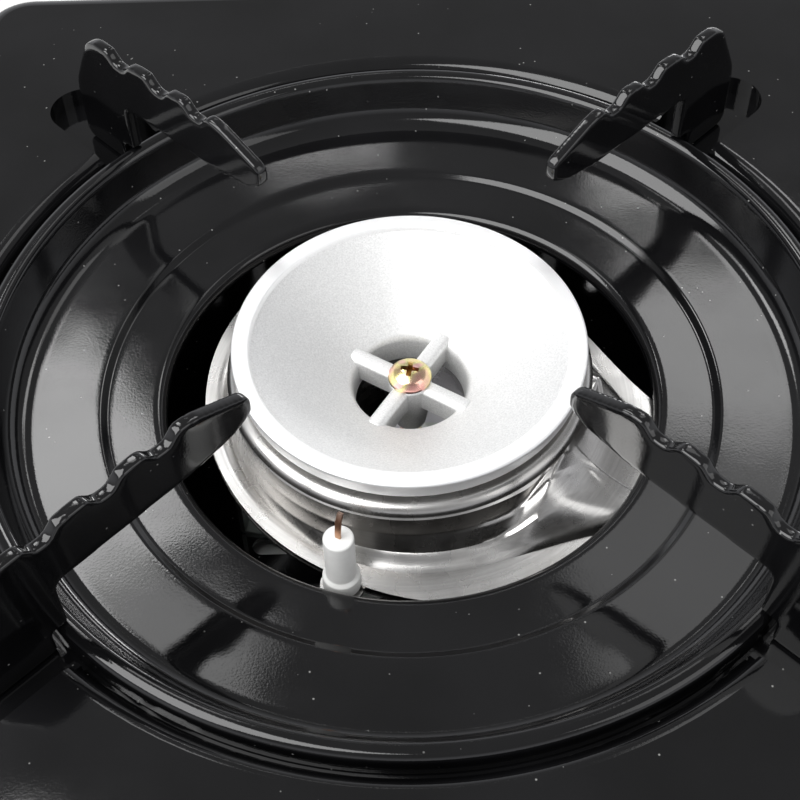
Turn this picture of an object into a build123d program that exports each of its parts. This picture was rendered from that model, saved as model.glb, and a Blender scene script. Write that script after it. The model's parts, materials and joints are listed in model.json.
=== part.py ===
"""Butane cassette stove: one round burner in a black enamelled drip pan with four pan arms,
and a bay on the right for a lying gas canister.

Millimetres, +Z up, front (knob and lever) towards -Y. The origin is on the table, under the
middle of the whole stove. Burner parts are drawn about the burner's own axis, with z = 0 at the
top of the burner head, and are then moved into the stove by at_burner().
"""
from build123d import *
import os
from math import cos, hypot, radians, sin, tan

# ---- casing -------------------------------------------------------------------------------
side_margin = 16.5          # deck left of the pan recess
bridge_width = 24.5         # deck between the pan recess and the heat shield
bay_width = 108.0           # heat shield to right wall
body_depth = 262.0          # front wall to back wall
knob_reach = 22.0           # how far the knob stands out of the front wall
foot_height = 6.0           # table to the underside of the base plate
foot_inset_x = 22.0         # foot to the side wall
foot_inset_y = 21.0         # foot to the front or back wall
shell_height = 76.0         # base plate to the top of the deck
sheet = 1.0                 # casing sheet
corner_radius = 14.0        # upright corners of the casing
deck_edge_radius = 6.0      # bend between deck and walls
bottom_flange = 9.0         # inward flange round the foot of the walls
gap = 0.3                   # clearance between parts that lie side by side
running = 0.05              # radial clearance of pins and shafts

# ---- burner -------------------------------------------------------------------------------
head_rise = 3.0             # head top above the deck
head_radius = 38.0
head_side = 4.4             # height of the head's outer edge
rim_inner_radius = 34.3     # where the bright rim steps down to the dish
rim_step = 1.0
throat_radius = 13.0        # centre hole of the head
dish_depth = 14.0           # rim to the edge of the centre hole
head_wall = 2.2
throat_depth = 20.5         # rim to the lower end of the throat
throat_wall = 1.5
spoke_width = 3.6
spoke_azimuth = 57.0
spoke_top = -12.5
hub_radius = 4.6
screw_head_radius = 4.5
screw_head_height = 2.6
screw_radius = 2.5
port_count = 36             # flame slots under the rim
port_width = 1.4
port_ring_inner = 30.5      # the ports lie well inside the head's edge
port_ring_wall = 2.8
port_height = 2.4
burner_sheet = 0.8
shoulder_radius = 39.2      # upper shell just under the head
shoulder_drop = 2.2         # height of its rounded shoulder
bowl_long = 45.5            # half the length of the oval bowl at the seam
bowl_short = 40.0           # half its width
bowl_azimuth = -70.0        # direction of its length
bowl_shift = 0.6            # its middle from the head's axis, sideways
seam_drop = 21.5            # head top to the seam between the two burner shells
seam_flange = 4.6           # width of the flat flange round bowl and tube
tube_azimuth = -26.0        # direction of the mixing tube
tube_reach = 100.0          # burner axis to the open end of the tube
tube_half_width = 13.0
tube_rise = 3.4             # tube above the seam
flare_radius = 26.0         # where the bowl runs out into the tube
bowl_depth = 14.5           # seam to the bottom of the bowl and the tube
bowl_bend = 5.6             # bend between their walls and bottom
collar_top = -17.0          # collar of the lower shell that takes the throat

# ---- drip pan and pan arms ----------------------------------------------------------------
pan_sheet = 0.9
pan_hole_radius = 53.6
pan_ridge_radius = 67.0
pan_floor_radius = 86.0
pan_wall_radius = 89.7
pan_rim_radius = 94.0
pan_floor_z = -15.1         # at the hole, from the head top
pan_rim_z = -2.0
pan_lip = 2.7               # turned-down edge of the hole
arm_thickness = 2.9
arm_edge_radius = 1.2       # rounded upper edges of the blade
arm_tip_radius = 43.0
arm_reach = 111.0           # burner axis to the outer end of an arm
arm_azimuth = 44.3
arm_count = 4
pan_support_z = 26.4        # top of the arms above the head
arm_crest_radius = 56.0     # where the top of the arm starts to run level
arm_crest_drop = 1.2        # fall of the top towards its outer end
arm_tip_low = 13.4          # blunt inner tip, above the head
arm_tip_high = 21.6
arm_underside_z = 12.8
arm_leg_top = 11.0          # where the underside turns down into the leg
arm_shoulder_z = 9.0        # where the outer edge turns down
groove_places = (64.0, 77.0, 91.0)
groove_radius = 3.8
groove_depth = 2.5

# ---- deck opening -------------------------------------------------------------------------
opening_radius = 95.5       # wall of the pan recess
ledge_radius = 91.0         # inner edge of the ledge that carries the pan
ledge_drop = 5.0            # deck top to ledge
opening_bend = 4.0          # rounded edge of the opening
ledge_lip = 3.5             # turned-down edge of the ledge
notch_width = 16.0          # recess for the foot of each arm

# ---- canister bay -------------------------------------------------------------------------
bay_front_inset = 21.5      # front wall to the bay's front edge
bay_back_inset = 15.5
sill_height = 52.0          # top of the right wall along the bay
canister_z = 46.5
canister_radius = 34.0
canister_inset = 36.0       # front wall to the canister's valve end
canister_length = 190.0
cradle_inset = 18.0         # valve end to the front of the cradle
cradle_length = 140.0
lid_sheet = 1.0
lid_rise = 0.6              # lid top above the deck
hinge_radius = 4.9          # rounded hinge edge of the lid
hinge_inset = 5.5           # hinge axis from the edge of the bay
lid_flange = 4.5
lid_panel_height = 0.8      # raised panel that stiffens the lid
lid_panel_margin = 18.0     # edge of the lid to the raised panel
hinge_pin_radius = 1.5

# ---- knob, regulator, lever ---------------------------------------------------------------
knob_radius = 21.0
spindle_radius = 4.0
panel_sheet = 1.6
panel_overlap = 4.0         # panel beyond the heat shield's left face
panel_margin = 8.0          # right wall to the panel
panel_bottom = 15.0
panel_top = 74.0
lever_sheet = 3.0
lever_gap = 3.0             # canister slide to lever
lever_reach = 36.0          # pivot to the end of the front arm
lever_angle = 141.8         # direction of the front arm, from the back
lever_width = 8.0
pivot_inset = 14.0          # front wall to the pivot
pivot_z = 30.0
pivot_radius = 2.5
lever_throw = 15.0          # pivot to the pin that pulls the slide
slide_gap = 5.0             # heat shield to canister slide
slide_sheet = 1.5
slide_travel = 6.3
cam_base_radius = 9.0
cam_lift = 5.0
knob_turn = 100.0           # degrees from off to the spark click
plunger_radius = 2.5
lead_radius = 1.3
pipe_radius = 2.5

# ---- worked out from the sizes above --------------------------------------------------------
body_width = side_margin + 2 * opening_radius + bridge_width + bay_width
burner_x = -body_width / 2 + side_margin + opening_radius
partition_x = body_width / 2 - bay_width        # left face of the heat shield
bay_left = partition_x + sheet + 2.5
canister_x = body_width / 2 - bay_width / 2
slide_x = partition_x + sheet + slide_gap
lever_x = slide_x + slide_sheet + lever_gap     # left face of the lever
panel_left = partition_x - panel_overlap
panel_right = body_width / 2 - panel_margin
base_z = foot_height
shell_z = base_z + sheet
deck_z = shell_z + shell_height
front_y = -(body_depth + knob_reach) / 2 + knob_reach
back_y = front_y + body_depth
mid_y = (front_y + back_y) / 2
burner_y = mid_y
bay_front = front_y + bay_front_inset
bay_back = back_y - bay_back_inset
canister_front = front_y + canister_inset
cradle_front = canister_front + cradle_inset
pivot_y = front_y + pivot_inset
head_top_z = deck_z + head_rise
inner_left = -body_width / 2 + sheet
inner_right = body_width / 2 - sheet
inner_front = front_y + sheet
inner_back = back_y - sheet
floor_z = base_z + sheet            # top of the base plate
flange_z = shell_z + sheet          # top of the casing's bottom flange
seam_z = -seam_drop
bowl_bottom_z = seam_z - bowl_depth
lid_top = deck_z + lid_rise
hinge_x = bay_left + hinge_inset
hinge_z = lid_top - hinge_radius - 0.1
ledge_z = -head_rise - ledge_drop
electrode_x, electrode_y = -15.0, -46.6     # from the burner axis
panel_front = front_y - panel_sheet


# ---- helpers ------------------------------------------------------------------------------
def sheet_profile(points, radii, thickness, side=Side.LEFT):
    """Section of bent sheet: a line with rounded corners, thickened to one side."""
    line = FilletPolyline(*points, radius=radii)
    return make_face(line.wire().offset_2d(thickness, side=side, closed=True))


def ring(face):
    """Solid of revolution about Z from a section drawn in X-Z."""
    return revolve(Plane.XZ * face, axis=Axis.Z)


def plate_x(face, x_low, thickness):
    """Plate drawn in Y-Z, from x_low towards +X."""
    return extrude(Plane.YZ.offset(x_low) * face, thickness)


def plate_y(face, y_low, thickness):
    """Plate drawn in X-Z, from y_low towards +Y."""
    return extrude(Plane.XZ.offset(-y_low) * face, -thickness)


def plate_z(face, z_low, thickness):
    """Plate drawn in X-Y, from z_low towards +Z."""
    return extrude(Plane.XY.offset(z_low) * face, thickness)


def block(x0, x1, y0, y1, z0, z1):
    """Box between two corners."""
    return Pos((x0 + x1) / 2, (y0 + y1) / 2, (z0 + z1) / 2) * Box(x1 - x0, y1 - y0, z1 - z0)


def rod_x(y, z, x_low, x_high, radius):
    return plate_x(Pos(y, z) * Circle(radius), x_low, x_high - x_low)


def rod_y(x, z, y_low, y_high, radius):
    return plate_y(Pos(x, z) * Circle(radius), y_low, y_high - y_low)


def rod_z(x, y, z_low, z_high, radius):
    return plate_z(Pos(x, y) * Circle(radius), z_low, z_high - z_low)


def at_burner(shape):
    """Move a shape from the burner's own axis and head-top level into the stove."""
    return Pos(burner_x, burner_y, head_top_z) * shape


def polar(radius, azimuth):
    """Point at a radius and a direction in degrees."""
    return radius * cos(radians(azimuth)), radius * sin(radians(azimuth))


def bent_tube(points, radii, radius):
    """Round tube or wire along straight runs joined by arcs."""
    path = FilletPolyline(*points, radius=radii)
    start = path.wire() ^ 0
    return sweep(start * Circle(radius), path=path.wire())


# ---- casing -------------------------------------------------------------------------------
def body_outline(inset=0.0):
    return Pos(0, mid_y) * RectangleRounded(
        body_width - 2 * inset, body_depth - 2 * inset, corner_radius - inset)


def casing_volume(inset, z_low):
    """Solid casing form, drawn in from the outside by inset and starting at z_low."""
    solid = plate_z(body_outline(inset), z_low, deck_z - inset - z_low)
    return fillet(solid.faces().sort_by(Axis.Z)[-1].edges(), deck_edge_radius - inset)


def notch_plan(width):
    """Plan of the recess for one arm's foot, along +X, with a round outer end."""
    reach = arm_reach + 3.0
    straight = Pos((ledge_radius + reach) / 2, 0) * Rectangle(reach - ledge_radius, width)
    return straight + Pos(reach, 0) * Circle(width / 2)


def make_top_shell():
    """Drawn casing: deck, four walls and bottom flange, with the pan recess and the bay."""
    shell = casing_volume(0, shell_z) - casing_volume(sheet, flange_z)
    shell -= plate_z(body_outline(bottom_flange), shell_z, sheet)

    # pan recess: rounded edge, short wall, ledge and turned-down lip
    blend_radius = opening_radius + opening_bend + 1.0
    recess = ring(sheet_profile(
        [(blend_radius, -head_rise), (opening_radius, -head_rise), (opening_radius, ledge_z),
         (ledge_radius, ledge_z), (ledge_radius, ledge_z - ledge_lip)],
        [opening_bend, 0.9, 0.9], sheet, Side.LEFT))
    shell -= at_burner(Pos(0, 0, -head_rise) * Cylinder(blend_radius, 3 * sheet))
    shell += at_burner(recess)
    for index in range(arm_count):
        turn = Rot(0, 0, arm_azimuth + index * 360 / arm_count)
        inner = plate_z(notch_plan(notch_width), ledge_z, ledge_drop + 1)
        outer = plate_z(notch_plan(notch_width + 2 * sheet), ledge_z - sheet, ledge_drop)
        outer -= Pos(0, 0, ledge_z) * Cylinder(opening_radius, 2 * ledge_drop,
                                               align=(Align.CENTER, Align.CENTER, Align.MIN))
        outer -= Cylinder(ledge_radius + sheet, 60)
        shell -= at_burner(turn * inner)
        shell += at_burner(turn * (outer - inner))

    # canister bay: opening in deck and right wall, with turned-down edges
    shell -= block(bay_left, body_width, bay_front, bay_back, sill_height, deck_z + 1)
    room = casing_volume(sheet, flange_z)
    edge_depth = 12.0
    edges = [block(bay_left - sheet, bay_left, bay_front, bay_back, deck_z - sheet - 8, deck_z - sheet)]
    for y_low in (bay_front - sheet, bay_back):
        edges.append(block(bay_left - sheet, body_width, y_low, y_low + sheet,
                           deck_z - sheet - edge_depth, deck_z - sheet) & room)
    for edge in edges:
        shell += edge
    shell -= rod_y(hinge_x, hinge_z, bay_front - 2 * sheet, bay_front + sheet, hinge_pin_radius)
    shell -= rod_y(hinge_x, hinge_z, bay_back - sheet, bay_back + 2 * sheet, hinge_pin_radius)

    # finger notch in the sill, air slots in the left and back walls
    shell -= plate_x(Pos(10, sill_height) * SlotOverall(40, 14), inner_right - 1, 3)
    slot = SlotOverall(24, 4, rotation=90)
    for index in range(9):
        shell -= plate_x(Pos(mid_y - 64 + 16 * index, 44) * slot, inner_left - 2, 3)
        shell -= plate_y(Pos(burner_x - 64 + 16 * index, 44) * slot, inner_back - 1, 3)

    # front wall: spindle hole, lever slot and panel screw holes
    shell -= rod_y(canister_x, canister_z, front_y - 1, inner_front + 1, spindle_radius + 1)
    shell -= lever_slot(front_y - 1, sheet + 2)
    for x, z in panel_screw_places():
        shell -= rod_y(x, z, front_y - 1, inner_front + 1, 1.5)
    for x, y in case_screw_places():
        shell -= rod_z(x, y, shell_z - 1, flange_z + 1, 1.5)
    return shell


def case_screw_places():
    """Screws that hold the base plate to the casing's bottom flange."""
    inset = bottom_flange / 2 + sheet / 2
    side = body_width / 2 - inset
    places = [(sign * side, y) for sign in (-1, 1) for y in (mid_y - 80.0, mid_y + 80.0)]
    places += [(x, y) for x in (-100.0, 100.0) for y in (front_y + inset, back_y - inset)]
    return places


def foot_places():
    side = body_width / 2 - foot_inset_x
    return [(sign * side, y) for sign in (-1, 1) for y in (front_y + foot_inset_y, back_y - foot_inset_y)]


def make_base_plate():
    plate = plate_z(body_outline(1.5), base_z, sheet)
    for x, y in case_screw_places():
        plate -= rod_z(x, y, base_z - 1, floor_z + 1, 1.7)
    for x, y in foot_places():
        plate -= rod_z(x, y, base_z - 1, floor_z + 1, 3.0)
    # air slots below the burner
    slot = SlotOverall(34, 5)
    for row in range(5):
        for column in (-1, 1):
            place = Pos(burner_x + column * 24, burner_y - 28 + 14 * row)
            plate -= plate_z(place * slot, base_z - 1, 3)
    return plate


def make_foot(x, y):
    """Push-in rubber foot: pad, neck through the base plate and a bulb above it."""
    neck, bulb = 2.9, 3.6
    section = make_face(Polyline(
        (0, 0), (8.0, 0), (9.0, 1.0), (8.2, base_z), (neck, base_z), (neck, floor_z),
        (bulb, floor_z + 0.2), (2.0, floor_z + 2.6), (0, floor_z + 2.6), (0, 0)))
    return Pos(x, y, 0) * ring(section)


def make_case_screws():
    screws = []
    for x, y in case_screw_places():
        head = rod_z(x, y, base_z - 1.6, base_z, 2.8)
        head = chamfer(head.faces().sort_by(Axis.Z)[0].edges(), 0.5)
        screws.append(head + rod_z(x, y, base_z, flange_z + 2.5, 1.5))
    return Compound(children=screws)


def make_heat_shield():
    """Upright plate between burner and canister, with air slots and a window at the front."""
    shield = block(partition_x, partition_x + sheet, inner_front + gap, inner_back - gap,
                   flange_z, deck_z - sheet)
    shield &= casing_volume(sheet, flange_z)
    foot_front, foot_back = front_y + bottom_flange + 6, back_y - bottom_flange - 6
    shield += block(partition_x, partition_x + sheet, foot_front, foot_back, floor_z, flange_z)
    shield += block(partition_x - 10, partition_x, foot_front, foot_back, floor_z, floor_z + sheet)
    window = Pos(front_y + 19.0, 36.0) * RectangleRounded(32.0, 48.0, 4.0)
    shield -= plate_x(window, partition_x - 1, 3)
    for index in range(6):
        shield -= plate_x(Pos(-50 + 30 * index, 66) * SlotOverall(20, 6), partition_x - 1, 3)
    return shield


# ---- drip pan and arms ----------------------------------------------------------------------
def make_drip_pan():
    """Pressed pan: turned-down hole edge, stepped floor, steep wall and rolled rim."""
    section = sheet_profile(
        [(pan_hole_radius, pan_floor_z - pan_lip),
         (pan_hole_radius, pan_floor_z),
         (pan_ridge_radius - 0.6, pan_floor_z + 0.7),
         (pan_ridge_radius + 0.6, pan_floor_z + 1.4),
         (pan_floor_radius, pan_floor_z + 2.4),
         (pan_wall_radius, pan_rim_z - 2.0),
         (pan_wall_radius + 0.4, pan_rim_z),
         (pan_rim_radius, pan_rim_z),
         (pan_rim_radius, ledge_z + 0.2)],
        [2.0, 0.8, 0.8, 5.0, 1.0, 1.7, 1.7], pan_sheet, Side.RIGHT)
    return at_burner(ring(section))


def nearest_vertex(face, point):
    return min(face.vertices(), key=lambda v: hypot(v.X - point[0], v.Y - point[1]))


def arm_outline():
    """Side view of one arm: radius across, height up, with grooves in the top edge."""
    top = pan_support_z
    outer_top = top - arm_crest_drop
    outer_crest = arm_reach - 8.5
    foot_z = ledge_z + 0.2
    foot_inner = pan_rim_radius + pan_sheet + 0.2
    leg_inner = pan_wall_radius + 1.6
    corners = [
        ((arm_tip_radius, arm_tip_low), 2.4), ((arm_tip_radius, arm_tip_high), 3.0),
        ((arm_crest_radius, top), 8.0), ((outer_crest, outer_top), 6.0),
        ((arm_reach, arm_shoulder_z), 12.0), ((arm_reach, foot_z), 2.5),
        ((foot_inner, foot_z), 0), ((foot_inner, pan_rim_z + 0.2), 0),
        ((leg_inner, pan_rim_z + 0.2), 0), ((leg_inner, arm_leg_top), 2.0),
        ((arm_tip_radius + 9.0, arm_underside_z), 20.0)]
    points = [point for point, _ in corners]
    face = make_face(Polyline(*points, points[0]))
    for point, radius in corners:
        if radius:
            face = fillet(nearest_vertex(face, point), radius)
    slope = (outer_top - top) / (outer_crest - arm_crest_radius)
    for radius in groove_places:
        edge_z = top + slope * (radius - arm_crest_radius)
        face -= Pos(radius, edge_z + groove_radius - groove_depth) * Circle(groove_radius)
    half = (groove_radius ** 2 - (groove_radius - groove_depth) ** 2) ** 0.5
    rims = [v for v in face.vertices()
            if v.Y > top - 2.0 and any(abs(abs(v.X - place) - half) < 0.4 for place in groove_places)]
    return fillet(rims, 2.0)


def make_arm(azimuth):
    """One blade arm with rounded upper edges."""
    blade = extrude(Plane.XZ * arm_outline(), arm_thickness / 2, both=True)
    upper_edges = [e for e in blade.edges()
                   if abs(abs(e.center().Y) - arm_thickness / 2) < 0.01 and e.center().Z > arm_leg_top + 1]
    return at_burner(Rot(0, 0, azimuth) * fillet(upper_edges, arm_edge_radius))


# ---- burner ---------------------------------------------------------------------------------
def make_burner_head():
    """Cast dish with a stepped rim, a ring of flame ports, a throat and a four-spoke cross."""
    throat_outer = throat_radius + throat_wall
    ring_outer = port_ring_inner + port_ring_wall
    underside = -head_side
    body = ring(make_face(Polyline(
        (head_radius, -0.5), (head_radius - 0.4, 0), (rim_inner_radius, 0),
        (rim_inner_radius - 0.3, -rim_step), (throat_radius, -dish_depth),
        (throat_radius, -throat_depth), (throat_outer, -throat_depth),
        (throat_outer, -dish_depth - head_wall + 0.6), (port_ring_inner, underside - 1.0),
        (port_ring_inner, underside - port_height),
        (ring_outer, underside - port_height), (ring_outer, underside),
        (head_radius - 0.7, underside), (head_radius, -0.5))))
    slot = block(port_ring_inner - 1, ring_outer + 1, -port_width / 2, port_width / 2,
                 underside - port_height - 1, underside)
    for index in range(port_count):
        body -= Rot(0, 0, index * 360 / port_count) * slot
    web_depth = 6.0
    spoke_reach = throat_radius + 4.0
    cross = Pos(0, 0, -throat_depth) * Cylinder(
        hub_radius, throat_depth + spoke_top, align=(Align.CENTER, Align.CENTER, Align.MIN))
    for index in range(arm_count):
        spoke = block(0, spoke_reach, -spoke_width / 2, spoke_width / 2,
                      spoke_top - web_depth, spoke_top)
        spoke -= ring(make_face(Polyline(
            (throat_radius + 0.6, spoke_top - web_depth - 1), (spoke_reach + 1, spoke_top - web_depth - 1),
            (spoke_reach + 1, spoke_top - 1.4), (throat_radius + 0.6, spoke_top - 3.6),
            (throat_radius + 0.6, spoke_top - web_depth - 1))))
        cross += Rot(0, 0, spoke_azimuth + 90 * index) * spoke
    body += cross
    body -= Cylinder(screw_radius, 80)
    return at_burner(body)


def make_burner_screw():
    """Pan-head screw that holds the head down."""
    dome = ring(make_face(
        ThreePointArc((screw_head_radius, 0.5), (screw_head_radius * 0.62, screw_head_height - 0.4),
                      (0, screw_head_height))
        + Line((0, screw_head_height), (0, 0)) + Line((0, 0), (screw_head_radius, 0))
        + Line((screw_head_radius, 0), (screw_head_radius, 0.5))))
    for angle in (20, 110):
        recess = Pos(0, 0, screw_head_height) * Rot(0, 0, angle) * Box(4.6, 0.9, 2.4)
        dome -= recess
    shank = Pos(0, 0, bowl_bottom_z - 4.0) * Cylinder(
        screw_radius, spoke_top - bowl_bottom_z + 4.0, align=(Align.CENTER, Align.CENTER, Align.MIN))
    return at_burner(Pos(0, 0, spoke_top) * dome + shank)


def bowl_reach(azimuth):
    """Burner axis to the wall of the oval bowl, in one direction."""
    turn = radians(azimuth - bowl_azimuth)
    oval = bowl_long * bowl_short / hypot(bowl_short * cos(turn), bowl_long * sin(turn))
    return oval - bowl_shift * sin(turn)


def burner_oval(inset, flare=1.0):
    """Outline of the bowl, drawn with the mixing tube along +X; round when flare is 0."""
    half_length = shoulder_radius + flare * (bowl_long - shoulder_radius) - inset
    half_width = shoulder_radius + flare * (bowl_short - shoulder_radius) - inset
    turn = Rot(0, 0, bowl_azimuth - tube_azimuth)
    return turn * Pos(0, -flare * bowl_shift) * Ellipse(half_length, half_width)


def burner_plan(inset):
    """Plan of the burner: an oval bowl running out into the mixing tube along +X."""
    plan = burner_oval(inset)
    plan += Pos(tube_reach / 2, 0) * Rectangle(tube_reach, 2 * (tube_half_width - inset))
    corners = [v for v in plan.vertices() if tube_half_width < v.X < tube_reach - 1]
    return fillet(corners, flare_radius + inset)


def tube_arch(inset, reach, rise, half_width):
    """Upright section across the upper half of the tube, at a distance from the burner axis."""
    height = rise - inset
    arch = Pos(0, seam_z + height / 2) * Rectangle(2 * (half_width - inset), height)
    top = [v for v in arch.vertices() if v.Y > seam_z + height / 2]
    return Plane.YZ.offset(reach) * fillet(top, 0.8 * height)


def upper_form(inset):
    """Closed form of the upper shell, drawn in from the outside by inset."""
    seat_z = -head_side - port_height
    wall_top = seat_z - shoulder_drop
    radius, top = shoulder_radius - inset, seat_z - inset
    shoulder = FilletPolyline((radius, wall_top), (radius, top), (0, top), radius=shoulder_drop - inset - 0.1)
    dome = ring(make_face(shoulder + Line((0, top), (0, wall_top)) + Line((0, wall_top), (radius, wall_top))))

    # wall: round under the shoulder, flaring to the oval at the seam
    wall = [Pos(0, 0, wall_top + drop * (seam_z - wall_top)) * burner_oval(inset, flare)
            for drop, flare in ((0, 0), (0.4, 0.14), (0.75, 0.45), (1, 1))]

    # saddle: falls away from the wall and runs out into the tube
    wall_rise = wall_top - seam_z
    saddle_reach, saddle_fall = 22.0, wall_rise - tube_rise
    arches = [tube_arch(inset, shoulder_radius - 9.0, wall_rise, 2.1 * tube_half_width)]
    for run, height, spread in ((0, 0.9, 1.85), (0.09, 0.68, 1.68), (0.2, 0.47, 1.52), (0.34, 0.26, 1.38),
                                (0.5, 0.1, 1.22), (0.68, 0, 1.1), (0.84, 0, 1.04), (1, 0, 1.0)):
        arches.append(tube_arch(inset, shoulder_radius + run * saddle_reach,
                                tube_rise + height * saddle_fall, spread * tube_half_width))
    tube = loft(arches)
    end = shoulder_radius + saddle_reach
    tube += extrude(tube_arch(inset, end, tube_rise, tube_half_width), tube_reach - end)
    return dome + loft(wall) + (tube & plate_z(burner_plan(inset), seam_z, seam_drop))


def lower_form(inset):
    """Closed form of the lower shell, hanging down from the seam."""
    form = extrude(Pos(0, 0, seam_z) * burner_plan(inset), inset - bowl_depth)
    return fillet(form.faces().sort_by(Axis.Z)[0].edges(), bowl_bend - inset)


def tube_turn(shape):
    return Rot(0, 0, tube_azimuth) * shape


def seam_plate(thickness):
    """Flat flange of one shell, with the ear that carries the spark electrode."""
    flange = tube_turn(extrude(Pos(0, 0, seam_z) * burner_plan(-seam_flange), thickness))
    ear = Pos(electrode_x, electrode_y, seam_z)
    return flange + extrude(ear * Circle(ear_radius), thickness)


def electrode_hole():
    return Pos(electrode_x, electrode_y, seam_z) * Cylinder(ceramic_radius + 0.1, 12)


ceramic_radius = 3.1
ceramic_flange_radius = 4.0
ear_radius = ceramic_flange_radius + 0.6


def make_upper_shell():
    """Upper burner shell: seat for the head, wall flaring from round to oval, flat seam flange."""
    shell = tube_turn(upper_form(0)) + seam_plate(burner_sheet)
    shell -= tube_turn(upper_form(burner_sheet))
    shell -= Cylinder(port_ring_inner, -2 * seam_z)
    return at_burner(shell - electrode_hole())


def make_lower_shell():
    """Lower burner shell: bowl with a centre collar for the throat, and half the mixing tube."""
    shell = tube_turn(lower_form(0)) + seam_plate(-burner_sheet)
    shell -= tube_turn(lower_form(burner_sheet))
    collar_inner = throat_radius + throat_wall + gap
    collar = ring(Pos(collar_inner + burner_sheet / 2, (collar_top + bowl_bottom_z) / 2)
                  * Rectangle(burner_sheet, collar_top - bowl_bottom_z))
    shell -= Pos(0, 0, bowl_bottom_z) * Cylinder(collar_inner, 6)
    return at_burner(shell + collar - electrode_hole())


strap_sheet = 1.5
nut_height = 4.0


def make_burner_strap():
    """Strap under the bowl that the head's screw pulls against."""
    strap = Rot(0, 0, spoke_azimuth) * Box(46, 12, strap_sheet)
    strap -= Cylinder(screw_radius, 10)
    return at_burner(Pos(0, 0, bowl_bottom_z - strap_sheet / 2) * strap)


def make_burner_nut():
    nut = extrude(RegularPolygon(4.6, 6), nut_height)
    nut -= Cylinder(screw_radius, 20)
    return at_burner(Pos(0, 0, bowl_bottom_z) * nut)


stand_sheet = 1.2
stand_width = 10.0
stand_clearance = 1.0       # bowl to the leg
stand_foot = 13.0           # leg to the end of its foot, turned in under the bowl
stand_azimuths = {"left": 168.0, "back": 72.0, "front": -84.0}


def stand_screw_reach(azimuth):
    return bowl_reach(azimuth) + stand_clearance - 0.6 * stand_foot


def make_stand(azimuth):
    """Leg from the base plate to the seam flange, with a foot turned in under the bowl."""
    low = floor_z - head_top_z
    tab_z = seam_z - burner_sheet - stand_sheet
    outer = bowl_reach(azimuth) + stand_clearance + stand_sheet
    tab_end = bowl_reach(azimuth) + seam_flange - 0.6
    section = sheet_profile([(outer - stand_foot, low), (outer, low), (outer, tab_z), (tab_end, tab_z)],
                            [stand_sheet + 0.4, 0.6], stand_sheet, Side.LEFT)
    stand = extrude(Plane.XZ * section, stand_width / 2, both=True)
    stand -= Pos(stand_screw_reach(azimuth), 0, low) * Cylinder(1.7, 10)
    return at_burner(Rot(0, 0, azimuth) * stand)


def make_stand_screws():
    screws = []
    for azimuth in stand_azimuths.values():
        x, y = polar(stand_screw_reach(azimuth), azimuth)
        place = Pos(burner_x + x, burner_y + y, 0)
        top = floor_z + stand_sheet
        head = rod_z(0, 0, top, top + 1.8, 2.8)
        head = chamfer(head.faces().sort_by(Axis.Z)[-1].edges(), 0.5)
        screws.append(place * (head + rod_z(0, 0, floor_z, top, 1.5)))
    return Compound(children=screws)


# ---- spark electrode --------------------------------------------------------------------------
ceramic_top_z = -4.0
ceramic_step_z = -17.0
ceramic_bottom_z = -34.0
pin_width = 1.3
pin_tail = 3.0              # pin below the ceramic, where the lead is crimped on


def make_ceramic():
    """Ceramic sleeve with a collar that sits on the ear of the seam flange."""
    seat = seam_z + burner_sheet
    section = make_face(Polyline(
        (0, ceramic_bottom_z), (ceramic_radius, ceramic_bottom_z), (ceramic_radius, seat),
        (ceramic_flange_radius, seat), (ceramic_flange_radius, ceramic_step_z - 0.5),
        (ceramic_radius, ceramic_step_z + 0.6), (ceramic_radius, ceramic_top_z - 0.6),
        (ceramic_radius - 0.7, ceramic_top_z), (0, ceramic_top_z), (0, ceramic_bottom_z)))
    sleeve = ring(section)
    sleeve -= block(-pin_width / 2, pin_width / 2, -0.3, 0.3, ceramic_bottom_z - 1, ceramic_top_z + 1)
    return at_burner(Pos(electrode_x, electrode_y, 0) * sleeve)


def make_electrode_pin():
    """Flat sparking pin, bent over towards the burner at its tip."""
    pin = block(-pin_width / 2, pin_width / 2, -0.3, 0.3,
                ceramic_bottom_z - pin_tail, ceramic_top_z + 1.5)
    bend = make_face(Polyline(
        (-0.3, ceramic_top_z + 1.5), (0.3, ceramic_top_z + 1.5), (2.0, ceramic_top_z + 6.4),
        (1.4, ceramic_top_z + 6.7), (-0.3, ceramic_top_z + 1.5)))
    pin += plate_x(bend, -pin_width / 2, pin_width)
    return at_burner(Pos(electrode_x, electrode_y, 0) * pin)


# ---- gas train --------------------------------------------------------------------------------
regulator_half_width = 17.0
regulator_left = canister_x - regulator_half_width
regulator_right = canister_x + regulator_half_width
regulator_front = front_y + 12.0
regulator_back = regulator_front + 16.0
spindle_boss_front = front_y + 6.4
outlet_y = regulator_back - 6.0
outlet_z = 27.0
pipe_end = 115.0            # burner axis to the end of the pipe in the nozzle
socket_depth = 2.0
nozzle_hexagon = 3.5        # length of the hexagon
nozzle_seat = pipe_end + socket_depth - nozzle_hexagon
nozzle_axis_z = seam_z + (tube_rise - bowl_depth) / 2


def tube_place(distance, z):
    """Point on the mixing tube's line, at a distance from the burner axis."""
    x, y = polar(distance, tube_azimuth)
    return burner_x + x, burner_y + y, head_top_z + z


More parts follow.
